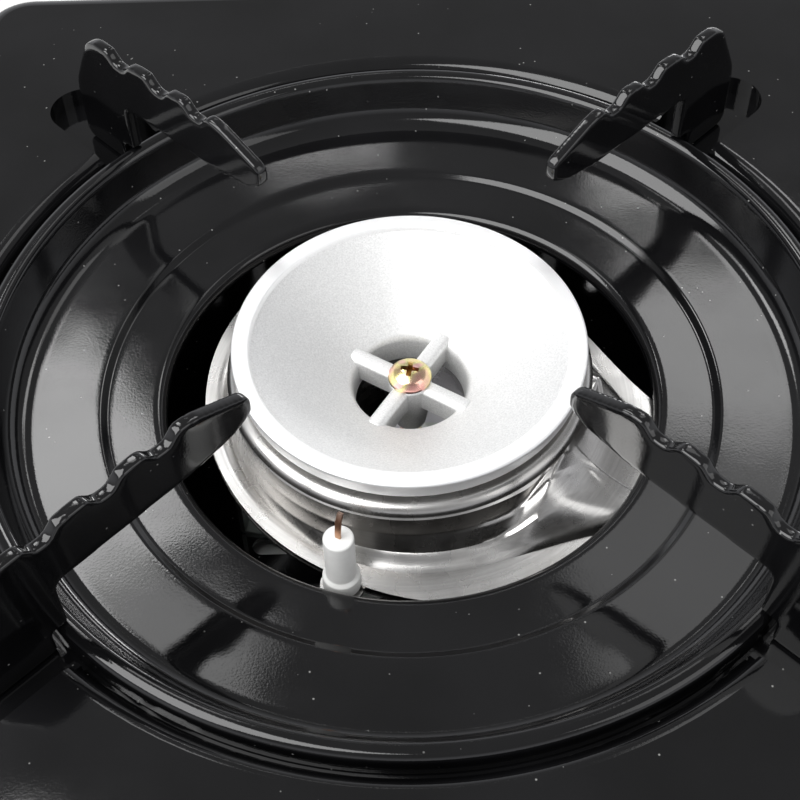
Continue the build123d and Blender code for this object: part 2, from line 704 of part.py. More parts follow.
def make_regulator_body():
    """Die-cast block: canister collar at the back, spindle boss in front, outlet on the left."""
    block_face = RectangleRounded(regulator_right - regulator_left, 40.0, 4.0)
    body = plate_y(Pos(canister_x, 42.0) * block_face, regulator_front,
                   regulator_back - regulator_front)
    body += rod_y(canister_x, canister_z, regulator_back, regulator_back + 4.0, 24.0)
    body += rod_y(canister_x, canister_z, regulator_back + 4.0, canister_front + 3.0, 8.0)
    body -= rod_y(canister_x, canister_z, canister_front - 3.0, canister_front + 4.0, 4.6)
    body += rod_y(canister_x, canister_z, spindle_boss_front, regulator_front, 8.0)
    body += rod_x(outlet_y, outlet_z, regulator_left - 5.0, regulator_left, 5.0)
    locating_tab = block(canister_x - 3.0, canister_x + 3.0, regulator_back + 4.0,
                         regulator_back + 8.0, canister_z + 15.0, canister_z + 22.0)
    body += locating_tab
    lug = block(canister_x - 7.0, canister_x + 7.0, regulator_front, regulator_front + 4.0, 12.0, 22.0)
    body += lug
    body -= rod_y(canister_x, canister_z, spindle_boss_front - 1, regulator_front + 6.0,
                  spindle_radius + running)
    body -= rod_x(outlet_y, outlet_z, regulator_left - 6.0, regulator_left + 4.0, pipe_radius)
    return body


cap_y = (regulator_front + regulator_back) / 2
cap_z = 43.0
cap_plate = 3.0


def cap_screw_places():
    return [(cap_y + dy, cap_z + dz) for dy in (-5.0, 5.0) for dz in (-13.0, 13.0)]


def make_regulator_cap():
    """Cover of the pressure diaphragm, on the block's right side."""
    width = regulator_back - regulator_front - 0.4
    cap = plate_x(Pos(cap_y, cap_z) * RectangleRounded(width, 32.0, 3.0), regulator_right, cap_plate)
    dome = rod_x(cap_y, cap_z, regulator_right + cap_plate, regulator_right + 8.0, width / 2 - 0.8)
    cap += fillet(dome.faces().sort_by(Axis.X)[-1].edges(), 2.0)
    for y, z in cap_screw_places():
        cap -= rod_x(y, z, regulator_right - 1, regulator_right + cap_plate + 1, 1.6)
    return cap


def make_regulator_screws():
    screws = []
    head_x = regulator_right + cap_plate
    for y, z in cap_screw_places():
        screws.append(rod_x(y, z, head_x, head_x + 1.6, 2.4) + rod_x(y, z, regulator_right, head_x, 1.5))
    return Compound(children=screws)


def make_regulator_bracket():
    """Bent plate that stands the regulator on the base plate."""
    left, right = canister_x - 15.0, canister_x + 15.0
    upright = block(left, right, regulator_back, regulator_back + 1.5, floor_z, 34.0)
    upright -= rod_y(canister_x, canister_z, regulator_back - 1, regulator_back + 2, 24.0 + gap)
    foot = block(left, right, regulator_back + 1.5, regulator_back + 16.0, floor_z, floor_z + 1.5)
    return upright + foot


def make_canister_seal():
    """Rubber ring that the canister's valve presses against."""
    seat = canister_front - 3.0
    seal = rod_y(canister_x, canister_z, seat, seat + 2.0, 4.6)
    return seal - rod_y(canister_x, canister_z, seat - 1, seat + 3, 1.6)


def make_gas_pipe():
    """Bent pipe from the regulator to the nozzle."""
    start = (regulator_left - 2.0, outlet_y, outlet_z)
    turn_x, turn_y, turn_z = tube_place(pipe_end + 13.0, nozzle_axis_z)
    points = [start, (turn_x, outlet_y, outlet_z), (turn_x, turn_y, turn_z),
              tube_place(pipe_end, nozzle_axis_z)]
    return bent_tube(points, [14.0, 8.5], pipe_radius)


nozzle_radius = 4.0


def make_gas_nozzle():
    """Brass nozzle: hexagon, thread through its bracket and a tapered tip."""
    tip = ring(make_face(Polyline(
        (0, 0), (nozzle_radius, 0), (nozzle_radius, 6.0), (1.4, 9.5), (0.0, 9.5), (0, 0))))
    hexagon = extrude(RegularPolygon(6.2, 6), -nozzle_hexagon)
    nozzle = tip + hexagon - Cylinder(0.4, 60)
    nozzle -= extrude(Pos(0, 0, -nozzle_hexagon) * Circle(pipe_radius), socket_depth)
    towards_burner = Rot(0, 0, tube_azimuth) * Rot(0, -90, 0)
    return Pos(*tube_place(nozzle_seat, nozzle_axis_z)) * towards_burner * nozzle


def make_nozzle_bracket():
    """Upright plate on the base plate that holds the nozzle in line with the mixing tube."""
    thickness, half_width = 2.0, 11.0
    x0 = nozzle_seat - thickness
    low = floor_z - head_top_z
    upright = block(x0, nozzle_seat, -half_width, half_width, low, nozzle_axis_z + 9.0)
    foot = block(x0 - 14.0, x0, -half_width, half_width, low, low + 1.5)
    upright -= Pos(x0, 0, nozzle_axis_z) * Rot(0, 90, 0) * Cylinder(nozzle_radius, 10)
    return at_burner(Rot(0, 0, tube_azimuth) * (upright + foot))


# ---- knob, spindle, igniter ---------------------------------------------------------------------
knob_length = 19.4
knob_bore_depth = 14.0
knob_back_y = front_y - knob_reach + knob_length
spindle_flat = 2.8          # spindle axis to its flat


def make_spindle():
    """Valve spindle with a flat that drives the knob."""
    spindle = rod_y(canister_x, canister_z, knob_back_y - knob_bore_depth + 0.6,
                    regulator_front + 4.0, spindle_radius)
    flat = block(canister_x - 5, canister_x + 5, knob_back_y - knob_length, knob_back_y,
                 canister_z + spindle_flat, canister_z + 6)
    return spindle - flat


def snail_radius(angle):
    """Radius of the ignition cam at an angle in degrees, rising evenly as the knob is turned."""
    return cam_base_radius + cam_lift * angle / knob_turn


def make_ignition_cam():
    """Snail cam on the spindle that presses the igniter as the knob is turned."""
    def rim_point(angle, radius):
        direction = radians(-90.0 - angle)
        return radius * cos(direction), radius * sin(direction)
    steps = 10
    rise = [rim_point(knob_turn * i / steps, snail_radius(knob_turn * i / steps))
            for i in range(steps + 1)]
    end = rim_point(knob_turn + 14.0, snail_radius(knob_turn))
    drop = rim_point(knob_turn + 30.0, cam_base_radius)
    rest = rim_point(knob_turn + 150.0, cam_base_radius)
    outline = (Spline(*rise) + Line(rise[-1], end) + Line(end, drop)
               + ThreePointArc(drop, rest, rise[0]))
    cam_face = make_face(outline) - Circle(spindle_radius)
    return plate_y(Pos(canister_x, canister_z) * cam_face, plunger_y - cam_width / 2, cam_width)


cam_width = 3.0
igniter_top = 30.0
igniter_width = 14.0
plunger_y = inner_front + 3.5
lead_z = 20.0               # where the lead leaves the igniter


def make_igniter():
    """Piezo igniter: moulded case with a bore for its plunger."""
    half = igniter_width / 2
    case = block(canister_x - half, canister_x + half, inner_front + gap, regulator_front,
                 flange_z + gap, igniter_top)
    case = fillet(case.edges().filter_by(Axis.Z), 0.8)
    case -= rod_z(canister_x, plunger_y, 14.0, igniter_top + 1, plunger_radius + running)
    case -= rod_x(plunger_y, lead_z, canister_x - half - 1.0, canister_x - half + 2.0, lead_radius)
    return case


def make_plunger():
    """Igniter plunger with a round top under the cam."""
    centre_z = canister_z - cam_base_radius - 0.4 - plunger_radius
    stem = rod_z(canister_x, plunger_y, 20.5, centre_z, plunger_radius)
    return stem + Pos(canister_x, plunger_y, centre_z) * Sphere(plunger_radius)


def make_knob():
    """Round knob with a tapered skirt and a raised grip bar."""
    skirt = ring(make_face(Polyline(
        (0, 0), (knob_radius, 0), (knob_radius, 3.0), (knob_radius - 2.0, 8.5),
        (knob_radius - 4.5, 10.0), (0, 10.0), (0, 0))))
    bar = Pos(0, 0, 10.0) * extrude(SlotOverall(2 * knob_radius - 8, 10.0, rotation=90),
                                    knob_length - 10.0)
    bar = fillet(bar.faces().sort_by(Axis.Z)[-1].edges(), 1.6)
    bar -= Pos(0, knob_radius - 9.0, knob_length) * Box(1.6, 7.0, 1.2)
    knob = skirt + bar
    bore = Cylinder(spindle_radius, 2 * knob_bore_depth)
    bore -= Pos(0, spindle_flat + 5, 0) * Box(12, 10, 4 * knob_bore_depth)
    return Pos(canister_x, knob_back_y, canister_z) * Rot(90, 0, 0) * (knob - bore)


def panel_screw_places():
    """Screws near the panel's corners; the left ones clear the heat shield."""
    return [(x, z) for x in (panel_left + 9.0, panel_right - 6.0)
            for z in (panel_bottom + 6.0, panel_top - 6.0)]


def lever_slot(y_low, depth):
    """Upright slot that the lever passes through."""
    centre_x = lever_x + lever_sheet / 2
    return plate_y(Pos(centre_x, 38.5) * SlotOverall(29.0, 8.0, rotation=90), y_low, depth)


def make_panel():
    """Front panel with a raised ring round the knob and the lever slot."""
    width, height = panel_right - panel_left, panel_top - panel_bottom
    centre = Pos(panel_left + width / 2, panel_bottom + height / 2)
    panel = plate_y(centre * RectangleRounded(width, height, 5.0), panel_front, panel_sheet)
    rim = Pos(canister_x, canister_z) * (Circle(knob_radius + 4.5) - Circle(knob_radius + 1.2))
    panel += plate_y(rim, panel_front - 1.2, 1.2)
    panel -= rod_y(canister_x, canister_z, panel_front - 2, front_y + 1, spindle_radius + 1)
    panel -= lever_slot(panel_front - 1, panel_sheet + 2)
    for x, z in panel_screw_places():
        panel -= rod_y(x, z, panel_front - 1, front_y + 1, 1.6)
    return panel


def make_panel_screws():
    screws = []
    for x, z in panel_screw_places():
        head = rod_y(x, z, panel_front - 1.6, panel_front, 2.8)
        screws.append(head + rod_y(x, z, panel_front, inner_front + 2.0, 1.5))
    return Compound(children=screws)


# ---- lock lever and canister slide ----------------------------------------------------------------
def lever_front_arm():
    """Side view of the arm that reaches out through the panel, from the pivot."""
    middle = Pos(*polar(lever_reach / 2, lever_angle))
    return middle * Rectangle(lever_reach, lever_width, rotation=lever_angle)


def make_lever():
    """Bell crank: one arm out through the panel, one up to the slide, with its pull pin."""
    boss = Circle(6.0)
    top_arm = Pos(0, lever_throw / 2) * Rectangle(lever_width, lever_throw)
    top_arm += Pos(0, lever_throw) * Circle(lever_width / 2)
    face = boss + lever_front_arm() + top_arm - Circle(pivot_radius + running)
    lever = plate_x(Pos(pivot_y, pivot_z) * face, lever_x, lever_sheet)
    lever += rod_x(pivot_y, pivot_z + lever_throw, slide_x - 1.5, lever_x, 2.0)
    return lever


def make_lever_grip():
    """Moulded tip pushed onto the front arm."""
    length, height, width = 18.0, 11.0, 14.0
    end_y, end_z = polar(lever_reach - 2.6, lever_angle)
    side = Pos(pivot_y + end_y, pivot_z + end_z + 0.8) * RectangleRounded(length, height, 3.0)
    grip = plate_x(side, lever_x + lever_sheet / 2 - width / 2, width)
    outer_edges = [e for e in grip.edges() if e.center().Y < pivot_y + end_y - length / 2 + 0.1]
    grip = fillet(outer_edges, 1.4)
    return grip - plate_x(Pos(pivot_y, pivot_z) * lever_front_arm(), lever_x, lever_sheet)


def make_lever_bracket():
    """U bracket on the base plate that carries the lever's pivot pin."""
    inner_half = lever_sheet / 2 + gap
    centre = lever_x + lever_sheet / 2
    y0, y1 = pivot_y - 4.6, pivot_y + 4.6
    bracket = block(centre - inner_half - 1.5, centre + inner_half + 1.5, y0, y1, floor_z, floor_z + 1.5)
    for x0 in (centre - inner_half - 1.5, centre + inner_half):
        bracket += block(x0, x0 + 1.5, y0, y1, floor_z, pivot_z + 5.0)
    bracket += block(centre + inner_half, centre + inner_half + 10.0, y0, y1, floor_z, floor_z + 1.5)
    return bracket - rod_x(pivot_y, pivot_z, centre - 6, centre + 6, pivot_radius)


def make_pivot_pin():
    centre = lever_x + lever_sheet / 2
    half = lever_sheet / 2 + gap + 1.5
    pin = rod_x(pivot_y, pivot_z, centre - half, centre + half, pivot_radius)
    pin += rod_x(pivot_y, pivot_z, centre + half, centre + half + 1.5, pivot_radius + 1.5)
    return pin


slide_low, slide_high = 36.0, 54.0
pusher_y = canister_front + canister_length + 6.0


def guide_places():
    """Rivets of the slide, as distances along Y and Z."""
    middle_z = (slide_low + slide_high) / 2
    return [(front_y + 80.0, middle_z), (front_y + 190.0, middle_z)]


def make_canister_slide():
    """Slide along the heat shield, bent round behind the canister to push it forward."""
    front_end = pivot_y - 4.5
    side = Pos((front_end + pusher_y) / 2, (slide_low + slide_high) / 2) * Rectangle(
        pusher_y - front_end, slide_high - slide_low)
    slide = plate_x(side, slide_x, slide_sheet)
    back = Pos((slide_x + canister_x + 18.0) / 2, canister_z) * RectangleRounded(
        canister_x + 18.0 - slide_x, 34.0, 6.0)
    slide += plate_y(back, pusher_y, slide_sheet)
    slide += rod_y(canister_x, canister_z, pusher_y - 2.0, pusher_y, 11.0)
    slide -= plate_x(Pos(pivot_y, pivot_z + lever_throw - 0.8) * SlotOverall(7.4, 4.8, rotation=90),
                     slide_x - 1, 4)
    for y, z in guide_places():
        centre = y + slide_travel / 2
        slide -= plate_x(Pos(centre, z) * SlotOverall(slide_travel + 5.4, 4.4), slide_x - 1, 4)
    return slide


def make_guide_rivets():
    """Shouldered rivets in the heat shield that the slide runs on."""
    rivets = []
    face = partition_x + sheet
    for y, z in guide_places():
        rivet = rod_x(y, z, face, slide_x - gap, 5.0)
        rivet += rod_x(y, z, slide_x - gap, slide_x + slide_sheet + gap, 2.0)
        rivet += rod_x(y, z, slide_x + slide_sheet + gap, slide_x + slide_sheet + gap + 1.2, 5.0)
        rivets.append(rivet)
    return Compound(children=rivets)


def make_cradle():
    """Curved saddle that the canister lies in, on two legs with feet."""
    clear = canister_radius + 0.5
    half_angle = 50.0
    foot_z = floor_z
    arc_x, arc_z = clear * sin(radians(half_angle)), -clear * cos(radians(half_angle))
    arc = ThreePointArc((-arc_x, arc_z), (0, -clear), (arc_x, arc_z))
    saddle = make_face(Wire(arc.edges()).offset_2d(sheet, side=Side.RIGHT, closed=True))
    cradle = plate_y(Pos(canister_x, canister_z) * saddle, cradle_front, cradle_length)
    cradle_back = cradle_front + cradle_length
    for side in (-1, 1):
        inner_x = canister_x + side * (arc_x + 1.0)
        outer_x = inner_x + side * sheet
        foot_x = inner_x + side * 9.0
        x0, x1 = sorted((inner_x - side * sheet, outer_x - side * sheet))
        cradle += block(x0, x1, cradle_front, cradle_back, foot_z, canister_z + arc_z)
        f0, f1 = sorted((x0 if side < 0 else x1, foot_x))
        cradle += block(f0, f1, cradle_front, cradle_back, foot_z, foot_z + sheet)
    for index in range(3):
        middle = Pos(canister_x, cradle_front + 30.0 + 40.0 * index)
        cradle -= plate_z(middle * RectangleRounded(30.0, 24.0, 4.0), floor_z + 3, 14)
    return cradle


# ---- lid ------------------------------------------------------------------------------------------
def make_lid():
    """Canister lid: top and right side in one bend, turned-in ends with hinge ears."""
    lid_right = body_width / 2
    line = [(bay_left + hinge_inset - hinge_radius - 0.1, hinge_z),
            (bay_left + hinge_inset - hinge_radius - 0.1, lid_top),
            (lid_right, lid_top), (lid_right, sill_height + gap)]
    y_low, y_high = bay_front + 0.5, bay_back - 0.5
    radii = [hinge_radius, deck_edge_radius + 2.0]
    lid = plate_y(sheet_profile(line, radii, lid_sheet, Side.RIGHT), y_low, y_high - y_low)
    end_face = sheet_profile(line, radii, lid_flange, Side.RIGHT)
    end_face += Pos(hinge_x, hinge_z) * Circle(hinge_radius)
    end_face -= Pos(hinge_x, hinge_z) * Circle(hinge_pin_radius + running)
    for y in (y_low, y_high - lid_sheet):
        lid += plate_y(end_face, y, lid_sheet)

    # raised panel pressed into the top
    panel_left_x = bay_left + lid_panel_margin
    panel_right_x = lid_right - lid_panel_margin
    centre = Pos((panel_left_x + panel_right_x) / 2, (y_low + y_high) / 2)
    width, length = panel_right_x - panel_left_x, y_high - y_low - 2 * lid_panel_margin
    raised = plate_z(centre * RectangleRounded(width, length, 10.0), lid_top, lid_panel_height)
    raised = fillet(raised.faces().sort_by(Axis.Z)[-1].edges(), lid_panel_height - 0.1)
    hollow = centre * RectangleRounded(width - 2 * lid_sheet, length - 2 * lid_sheet, 10.0 - lid_sheet)
    return lid + raised - plate_z(hollow, lid_top - lid_sheet, lid_panel_height)


def make_hinge_pins():
    """Two rivets through the edges of the bay and the ears of the lid."""
    pins = []
    front = bay_front - sheet
    pins.append(rod_y(hinge_x, hinge_z, front - 1.5, front, 3.0)
                + rod_y(hinge_x, hinge_z, front, bay_front + 3.5, hinge_pin_radius))
    back = bay_back + sheet
    pins.append(rod_y(hinge_x, hinge_z, back, back + 1.5, 3.0)
                + rod_y(hinge_x, hinge_z, bay_back - 3.5, back, hinge_pin_radius))
    return Compound(children=pins)


# ---- spark lead -------------------------------------------------------------------------------------
def make_spark_lead():
    """Insulated lead from the igniter, along the base plate and up to the electrode."""
    end_x = burner_x + electrode_x
    end_y = burner_y + electrode_y
    low_z = floor_z + 4.5
    points = [(canister_x - igniter_width / 2 + 2.0, plunger_y, lead_z),
              (canister_x - 22.0, plunger_y, lead_z),
              (partition_x + 20.0, inner_front + 5.5, lead_z - 1.0),
              (partition_x - 4.0, inner_front + 6.5, lead_z - 2.5),
              (burner_x + 78.0, front_y + 16.0, low_z),
              (burner_x + 30.0, front_y + 32.0, low_z),
              (end_x + 20.0, end_y - 7.0, low_z),
              (end_x, end_y, low_z + 4.0),
              (end_x, end_y, head_top_z + ceramic_bottom_z - pin_tail)]
    radii = []
    for before, corner, after in zip(points, points[1:], points[2:]):
        run_in = Vector(*corner) - Vector(*before)
        run_out = Vector(*after) - Vector(*corner)
        turn = radians(run_in.get_angle(run_out))
        shorter = min(run_in.length, run_out.length)
        radii.append(0.45 * shorter / tan(turn / 2))
    print("spark lead bends:", [round(radius, 1) for radius in radii])
    return bent_tube(points, radii, lead_radius)


# ---- all parts ----------------------------------------------------------------------------------------
def build_parts():
    parts = {
        "base_plate": make_base_plate(),
        "case_screws": make_case_screws(),
        "top_shell": make_top_shell(),
        "heat_shield": make_heat_shield(),
        "drip_pan": make_drip_pan(),
        "burner_head": make_burner_head(),
        "burner_screw": make_burner_screw(),
        "burner_upper_shell": make_upper_shell(),
        "burner_lower_shell": make_lower_shell(),
        "burner_strap": make_burner_strap(),
        "burner_nut": make_burner_nut(),
        "stand_screws": make_stand_screws(),
        "electrode_ceramic": make_ceramic(),
        "electrode_pin": make_electrode_pin(),
        "regulator_body": make_regulator_body(),
        "regulator_cap": make_regulator_cap(),
        "regulator_screws": make_regulator_screws(),
        "regulator_bracket": make_regulator_bracket(),
        "canister_seal": make_canister_seal(),
        "gas_pipe": make_gas_pipe(),
        "gas_nozzle": make_gas_nozzle(),
        "nozzle_bracket": make_nozzle_bracket(),
        "valve_spindle": make_spindle(),
        "ignition_cam": make_ignition_cam(),
        "piezo_igniter": make_igniter(),
        "igniter_plunger": make_plunger(),
        "spark_lead": make_spark_lead(),
        "control_knob": make_knob(),
        "front_panel": make_panel(),
        "panel_screws": make_panel_screws(),
        "lock_lever": make_lever(),
        "lever_grip": make_lever_grip(),
        "lever_bracket": make_lever_bracket(),
        "lever_pivot_pin": make_pivot_pin(),
        "canister_slide": make_canister_slide(),
        "slide_rivets": make_guide_rivets(),
        "canister_cradle": make_cradle(),
        "canister_lid": make_lid(),
        "lid_hinge_pins": make_hinge_pins(),
    }
    corners = ("front_left", "back_left", "front_right", "back_right")
    for corner, (x, y) in zip(corners, foot_places()):
        parts["foot_" + corner] = make_foot(x, y)
    directions = ("back_right", "back_left", "front_left", "front_right")
    for index, direction in enumerate(directions):
        parts["pan_arm_" + direction] = make_arm(arm_azimuth + index * 360 / arm_count)
    for place, azimuth in stand_azimuths.items():
        parts["burner_stand_" + place] = make_stand(azimuth)
    return parts


os.makedirs("parts", exist_ok=True)
for name, shape in build_parts().items():
    export_step(shape, f"parts/{name}.step")
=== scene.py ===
"""Butane cassette stove: the visible pieces and finishes, modelled round the stove's frame.

Sizes in the code are millimetres unless a name says otherwise; MM turns them into metres.
Burner pieces are drawn about the burner's axis with z = 0 at the top of the burner head.
"""

import json
import math

import bmesh
import bpy
from bpy.props import FloatProperty, FloatVectorProperty, IntProperty, PointerProperty
from mathutils import Matrix, Vector

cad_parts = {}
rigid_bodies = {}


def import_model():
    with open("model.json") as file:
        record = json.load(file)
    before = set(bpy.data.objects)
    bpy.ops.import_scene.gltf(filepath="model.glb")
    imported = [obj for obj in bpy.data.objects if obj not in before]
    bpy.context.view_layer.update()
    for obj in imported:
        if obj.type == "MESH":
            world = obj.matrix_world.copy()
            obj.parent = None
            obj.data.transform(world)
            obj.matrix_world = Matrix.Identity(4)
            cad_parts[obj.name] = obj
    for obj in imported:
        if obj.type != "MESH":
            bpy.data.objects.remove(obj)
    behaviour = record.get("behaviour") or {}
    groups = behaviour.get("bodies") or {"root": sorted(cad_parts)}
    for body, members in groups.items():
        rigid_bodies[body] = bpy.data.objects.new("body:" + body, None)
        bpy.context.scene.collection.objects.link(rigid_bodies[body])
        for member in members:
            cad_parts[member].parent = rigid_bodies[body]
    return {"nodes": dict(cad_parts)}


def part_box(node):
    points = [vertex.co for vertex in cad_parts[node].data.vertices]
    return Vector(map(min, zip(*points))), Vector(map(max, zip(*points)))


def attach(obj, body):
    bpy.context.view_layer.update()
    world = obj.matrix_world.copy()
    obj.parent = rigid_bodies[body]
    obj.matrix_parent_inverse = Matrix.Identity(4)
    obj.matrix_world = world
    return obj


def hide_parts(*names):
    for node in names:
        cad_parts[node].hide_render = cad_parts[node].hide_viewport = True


bl_info = {
    "name": "Butane Cassette Stove",
    "version": (1, 0, 0),
    "blender": (4, 5, 0),
    "location": "View3D > Sidebar > Stove",
    "description": "Models and finishes a butane cassette stove round its mechanical frame",
    "category": "Object",
}

MM = 0.001
CLOSE = 2e-6            # metres within which two points count as one

bpy.ops.object.select_all(action="SELECT")
bpy.ops.object.delete()
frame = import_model()
bpy.ops.object.select_all(action="DESELECT")
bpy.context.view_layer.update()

head_low, head_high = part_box("burner_head")
BURNER = Vector(((head_low.x + head_high.x) / 2, (head_low.y + head_high.y) / 2, head_high.z))
HUB_TOP = -12.4         # seat of the burner screw, below the top of the head


# ---- settings --------------------------------------------
class StoveColours(bpy.types.PropertyGroup):
    """Colours of the stove's finishes."""
    enamel: FloatVectorProperty(
        name="Enamel", description="Colour of the enamelled pan, arms and casing",
        default=(0.0045, 0.0045, 0.005), subtype="COLOR", min=0, max=1)
    cast_metal: FloatVectorProperty(
        name="Cast metal", description="Colour of the blasted burner head",
        default=(0.86, 0.86, 0.855), subtype="COLOR", min=0, max=1)
    steel: FloatVectorProperty(
        name="Drawn steel", description="Colour of the burner's steel shells",
        default=(0.60, 0.595, 0.585), subtype="COLOR", min=0, max=1)
    ceramic: FloatVectorProperty(
        name="Ceramic", description="Colour of the electrode's sleeve",
        default=(0.82, 0.82, 0.80), subtype="COLOR", min=0, max=1)
    plastic: FloatVectorProperty(
        name="Plastic", description="Colour of knob and lever grip",
        default=(0.022, 0.022, 0.024), subtype="COLOR", min=0, max=1)


class StoveSizes(bpy.types.PropertyGroup):
    """Sizes of the modelled pieces."""
    head_radius: FloatProperty(
        name="Head radius", description="Outer radius of the burner head",
        default=(head_high.x - head_low.x) / 2, unit="LENGTH", subtype="DISTANCE")
    pan_sheet: FloatProperty(
        name="Pan sheet", description="Thickness of the enamelled pan",
        default=0.9 * MM, unit="LENGTH", subtype="DISTANCE")
    arm_thickness: FloatProperty(
        name="Arm thickness", description="Thickness of one pan arm's blade",
        default=2.9 * MM, unit="LENGTH", subtype="DISTANCE")
    burner_sheet: FloatProperty(
        name="Burner sheet", description="Thickness of the burner's pressed shells",
        default=0.8 * MM, unit="LENGTH", subtype="DISTANCE")
    spoke_width: FloatProperty(
        name="Spoke width", description="Width of one spoke of the head's cross",
        default=3.9 * MM, unit="LENGTH", subtype="DISTANCE")
    ports: IntProperty(
        name="Flame ports", description="Slots under the rim of the head", default=36)


class StageSettings(bpy.types.PropertyGroup):
    """Camera, lamps and floor."""
    camera_place: FloatVectorProperty(
        name="Camera", description="Place of the camera", subtype="TRANSLATION", unit="LENGTH",
        default=(-0.060288, -0.186004, 0.313610))
    lens: FloatProperty(
        name="Lens", description="Focal length in millimetres on a 36 mm sensor", default=63.75)
    floor_tone: FloatVectorProperty(
        name="Floor", description="Colour of the floor",
        default=(0.82, 0.82, 0.81), subtype="COLOR")
    sky_strength: FloatProperty(
        name="Room light", description="Strength of the light of the room", default=0.85)


# ---- modelling helpers -----------------------------------
def read_table(value, table):
    """Value read from a table of (place, value), on straight lines between its rows."""
    for (low, first), (high, second) in zip(table, table[1:]):
        if value <= high:
            share = max((value - low) / (high - low), 0.0)
            return first + (second - first) * share
    return table[-1][1]


def to_object_mode():
    """Leave edit mode, if the active object is in it."""
    if bpy.context.object and bpy.context.object.mode != "OBJECT":
        bpy.ops.object.mode_set(mode="OBJECT")


def only(piece):
    """Select one object and make it the active one."""
    to_object_mode()
    bpy.ops.object.select_all(action="DESELECT")
    piece.select_set(True)
    bpy.context.view_layer.objects.active = piece


def pick(piece, kind, test):
    """In edit mode, select just the vertices, edges or faces that pass a test on their centre."""
    bpy.ops.mesh.select_mode(type=kind)
    bpy.ops.mesh.select_all(action="DESELECT")
    shape = bmesh.from_edit_mesh(piece.data)
    if kind == "VERT":
        chosen = [v for v in shape.verts if test(v.co)]
    elif kind == "EDGE":
        chosen = [e for e in shape.edges if test((e.verts[0].co + e.verts[1].co) / 2)]
    else:
        chosen = [f for f in shape.faces if test(f.calc_center_median())]
    if not chosen:
        raise RuntimeError(f"nothing to pick on {piece.name}")
    for item in chosen:
        item.select_set(True)
    shape.select_flush_mode()
    bmesh.update_edit_mesh(piece.data)


def extrude(x=0.0, y=0.0, z=0.0):
    """Extrude what is selected by a step in metres."""
    bpy.ops.mesh.extrude_region_move(TRANSFORM_OT_translate={"value": (x, y, z)})


def face_outwards():
    """Turn the front of every face to the outside."""
    bpy.ops.mesh.select_all(action="SELECT")
    bpy.ops.mesh.normals_make_consistent(inside=False)


def start_line(name):
    """Begin a piece as a single vertex at the origin, in edit mode."""
    to_object_mode()
    bpy.ops.object.select_all(action="DESELECT")
    bpy.ops.mesh.primitive_plane_add(size=MM, location=(0, 0, 0))
    piece = bpy.context.object
    piece.name = name
    piece.data.name = name
    bpy.ops.object.mode_set(mode="EDIT")
    bpy.ops.mesh.select_mode(type="VERT")
    bpy.ops.mesh.select_all(action="SELECT")
    bpy.ops.mesh.merge(type="CENTER")
    return piece


def corner_offset(before, corner, after, radius):
    """Distance from a corner at which a bend of this radius starts."""
    leg_in = Vector((corner[0] - before[0], corner[1] - before[1]))
    leg_out = Vector((after[0] - corner[0], after[1] - corner[1]))
    return radius * math.tan(leg_in.angle(leg_out) / 2)


def draw_section(name, corners, closed=False, segments=6):
    """Draw a section in X-Z by extruding a vertex from corner to corner, then round the corners.

    corners holds (x, z) or (x, z, bend radius) in millimetres.
    """
    piece = start_line(name)
    points = [(c[0] * MM, c[1] * MM) for c in corners]
    bends = [c[2] * MM if len(c) > 2 else 0 for c in corners]
    bpy.ops.transform.translate(value=(points[0][0], 0, points[0][1]))
    for (x0, z0), (x1, z1) in zip(points, points[1:]):
        extrude(x1 - x0, 0, z1 - z0)
    if closed:
        extrude(points[0][0] - points[-1][0], 0, points[0][1] - points[-1][1])
        bpy.ops.mesh.select_all(action="SELECT")
        bpy.ops.mesh.remove_doubles(threshold=CLOSE)
    count = len(points)
    for index, (x, z) in enumerate(points):
        if not bends[index] or (not closed and index in (0, count - 1)):
            continue
        offset = corner_offset(points[index - 1], (x, z), points[(index + 1) % count], bends[index])
        pick(piece, "VERT", lambda co: abs(co.x - x) < CLOSE and abs(co.z - z) < CLOSE)
        bpy.ops.mesh.bevel(offset=offset, segments=segments, profile=0.5, affect="VERTICES",
                           clamp_overlap=False)
    return piece


def spin_section(piece, steps):
    """Turn the drawn section once round the Z axis and close it."""
    bpy.ops.mesh.select_all(action="SELECT")
    bpy.ops.mesh.spin(steps=steps, angle=math.tau, center=(0, 0, 0), axis=(0, 0, 1))
    bpy.ops.mesh.select_all(action="SELECT")
    bpy.ops.mesh.remove_doubles(threshold=CLOSE)
    face_outwards()


def thicken(width):
    """Fill the drawn outline and make it a slab that lies evenly about the X-Z plane."""
    bpy.ops.mesh.select_all(action="SELECT")
    bpy.ops.mesh.edge_face_add()
    bpy.ops.transform.translate(value=(0, -width / 2, 0))
    extrude(y=width)
    face_outwards()


def turn_piece(azimuth):
    """Turn everything in edit mode about the Z axis, in degrees."""
    bpy.ops.mesh.select_all(action="SELECT")
    bpy.ops.transform.rotate(value=-math.radians(azimuth), orient_axis="Z",
                             center_override=(0, 0, 0))


def set_down(piece, place):
    """Move the finished mesh to its place, leaving the object at the origin."""
    if piece.mode != "EDIT":
        only(piece)
        bpy.ops.object.mode_set(mode="EDIT")
    bpy.ops.mesh.select_all(action="SELECT")
    bpy.ops.transform.translate(value=place)
    bpy.ops.object.mode_set(mode="OBJECT")


def apply_modifier(piece, kind, **values):
    """Add a modifier, set it and apply it."""
    only(piece)
    modifier = piece.modifiers.new(kind.title(), kind)
    for key, value in values.items():
        setattr(modifier, key, value)
    bpy.ops.object.modifier_apply(modifier=modifier.name)


def combine(piece, tool, operation):
    """Join a tool to a piece or cut it away, then remove the tool."""
    apply_modifier(piece, "BOOLEAN", operation=operation, object=tool, solver="EXACT")
    bpy.data.objects.remove(tool)


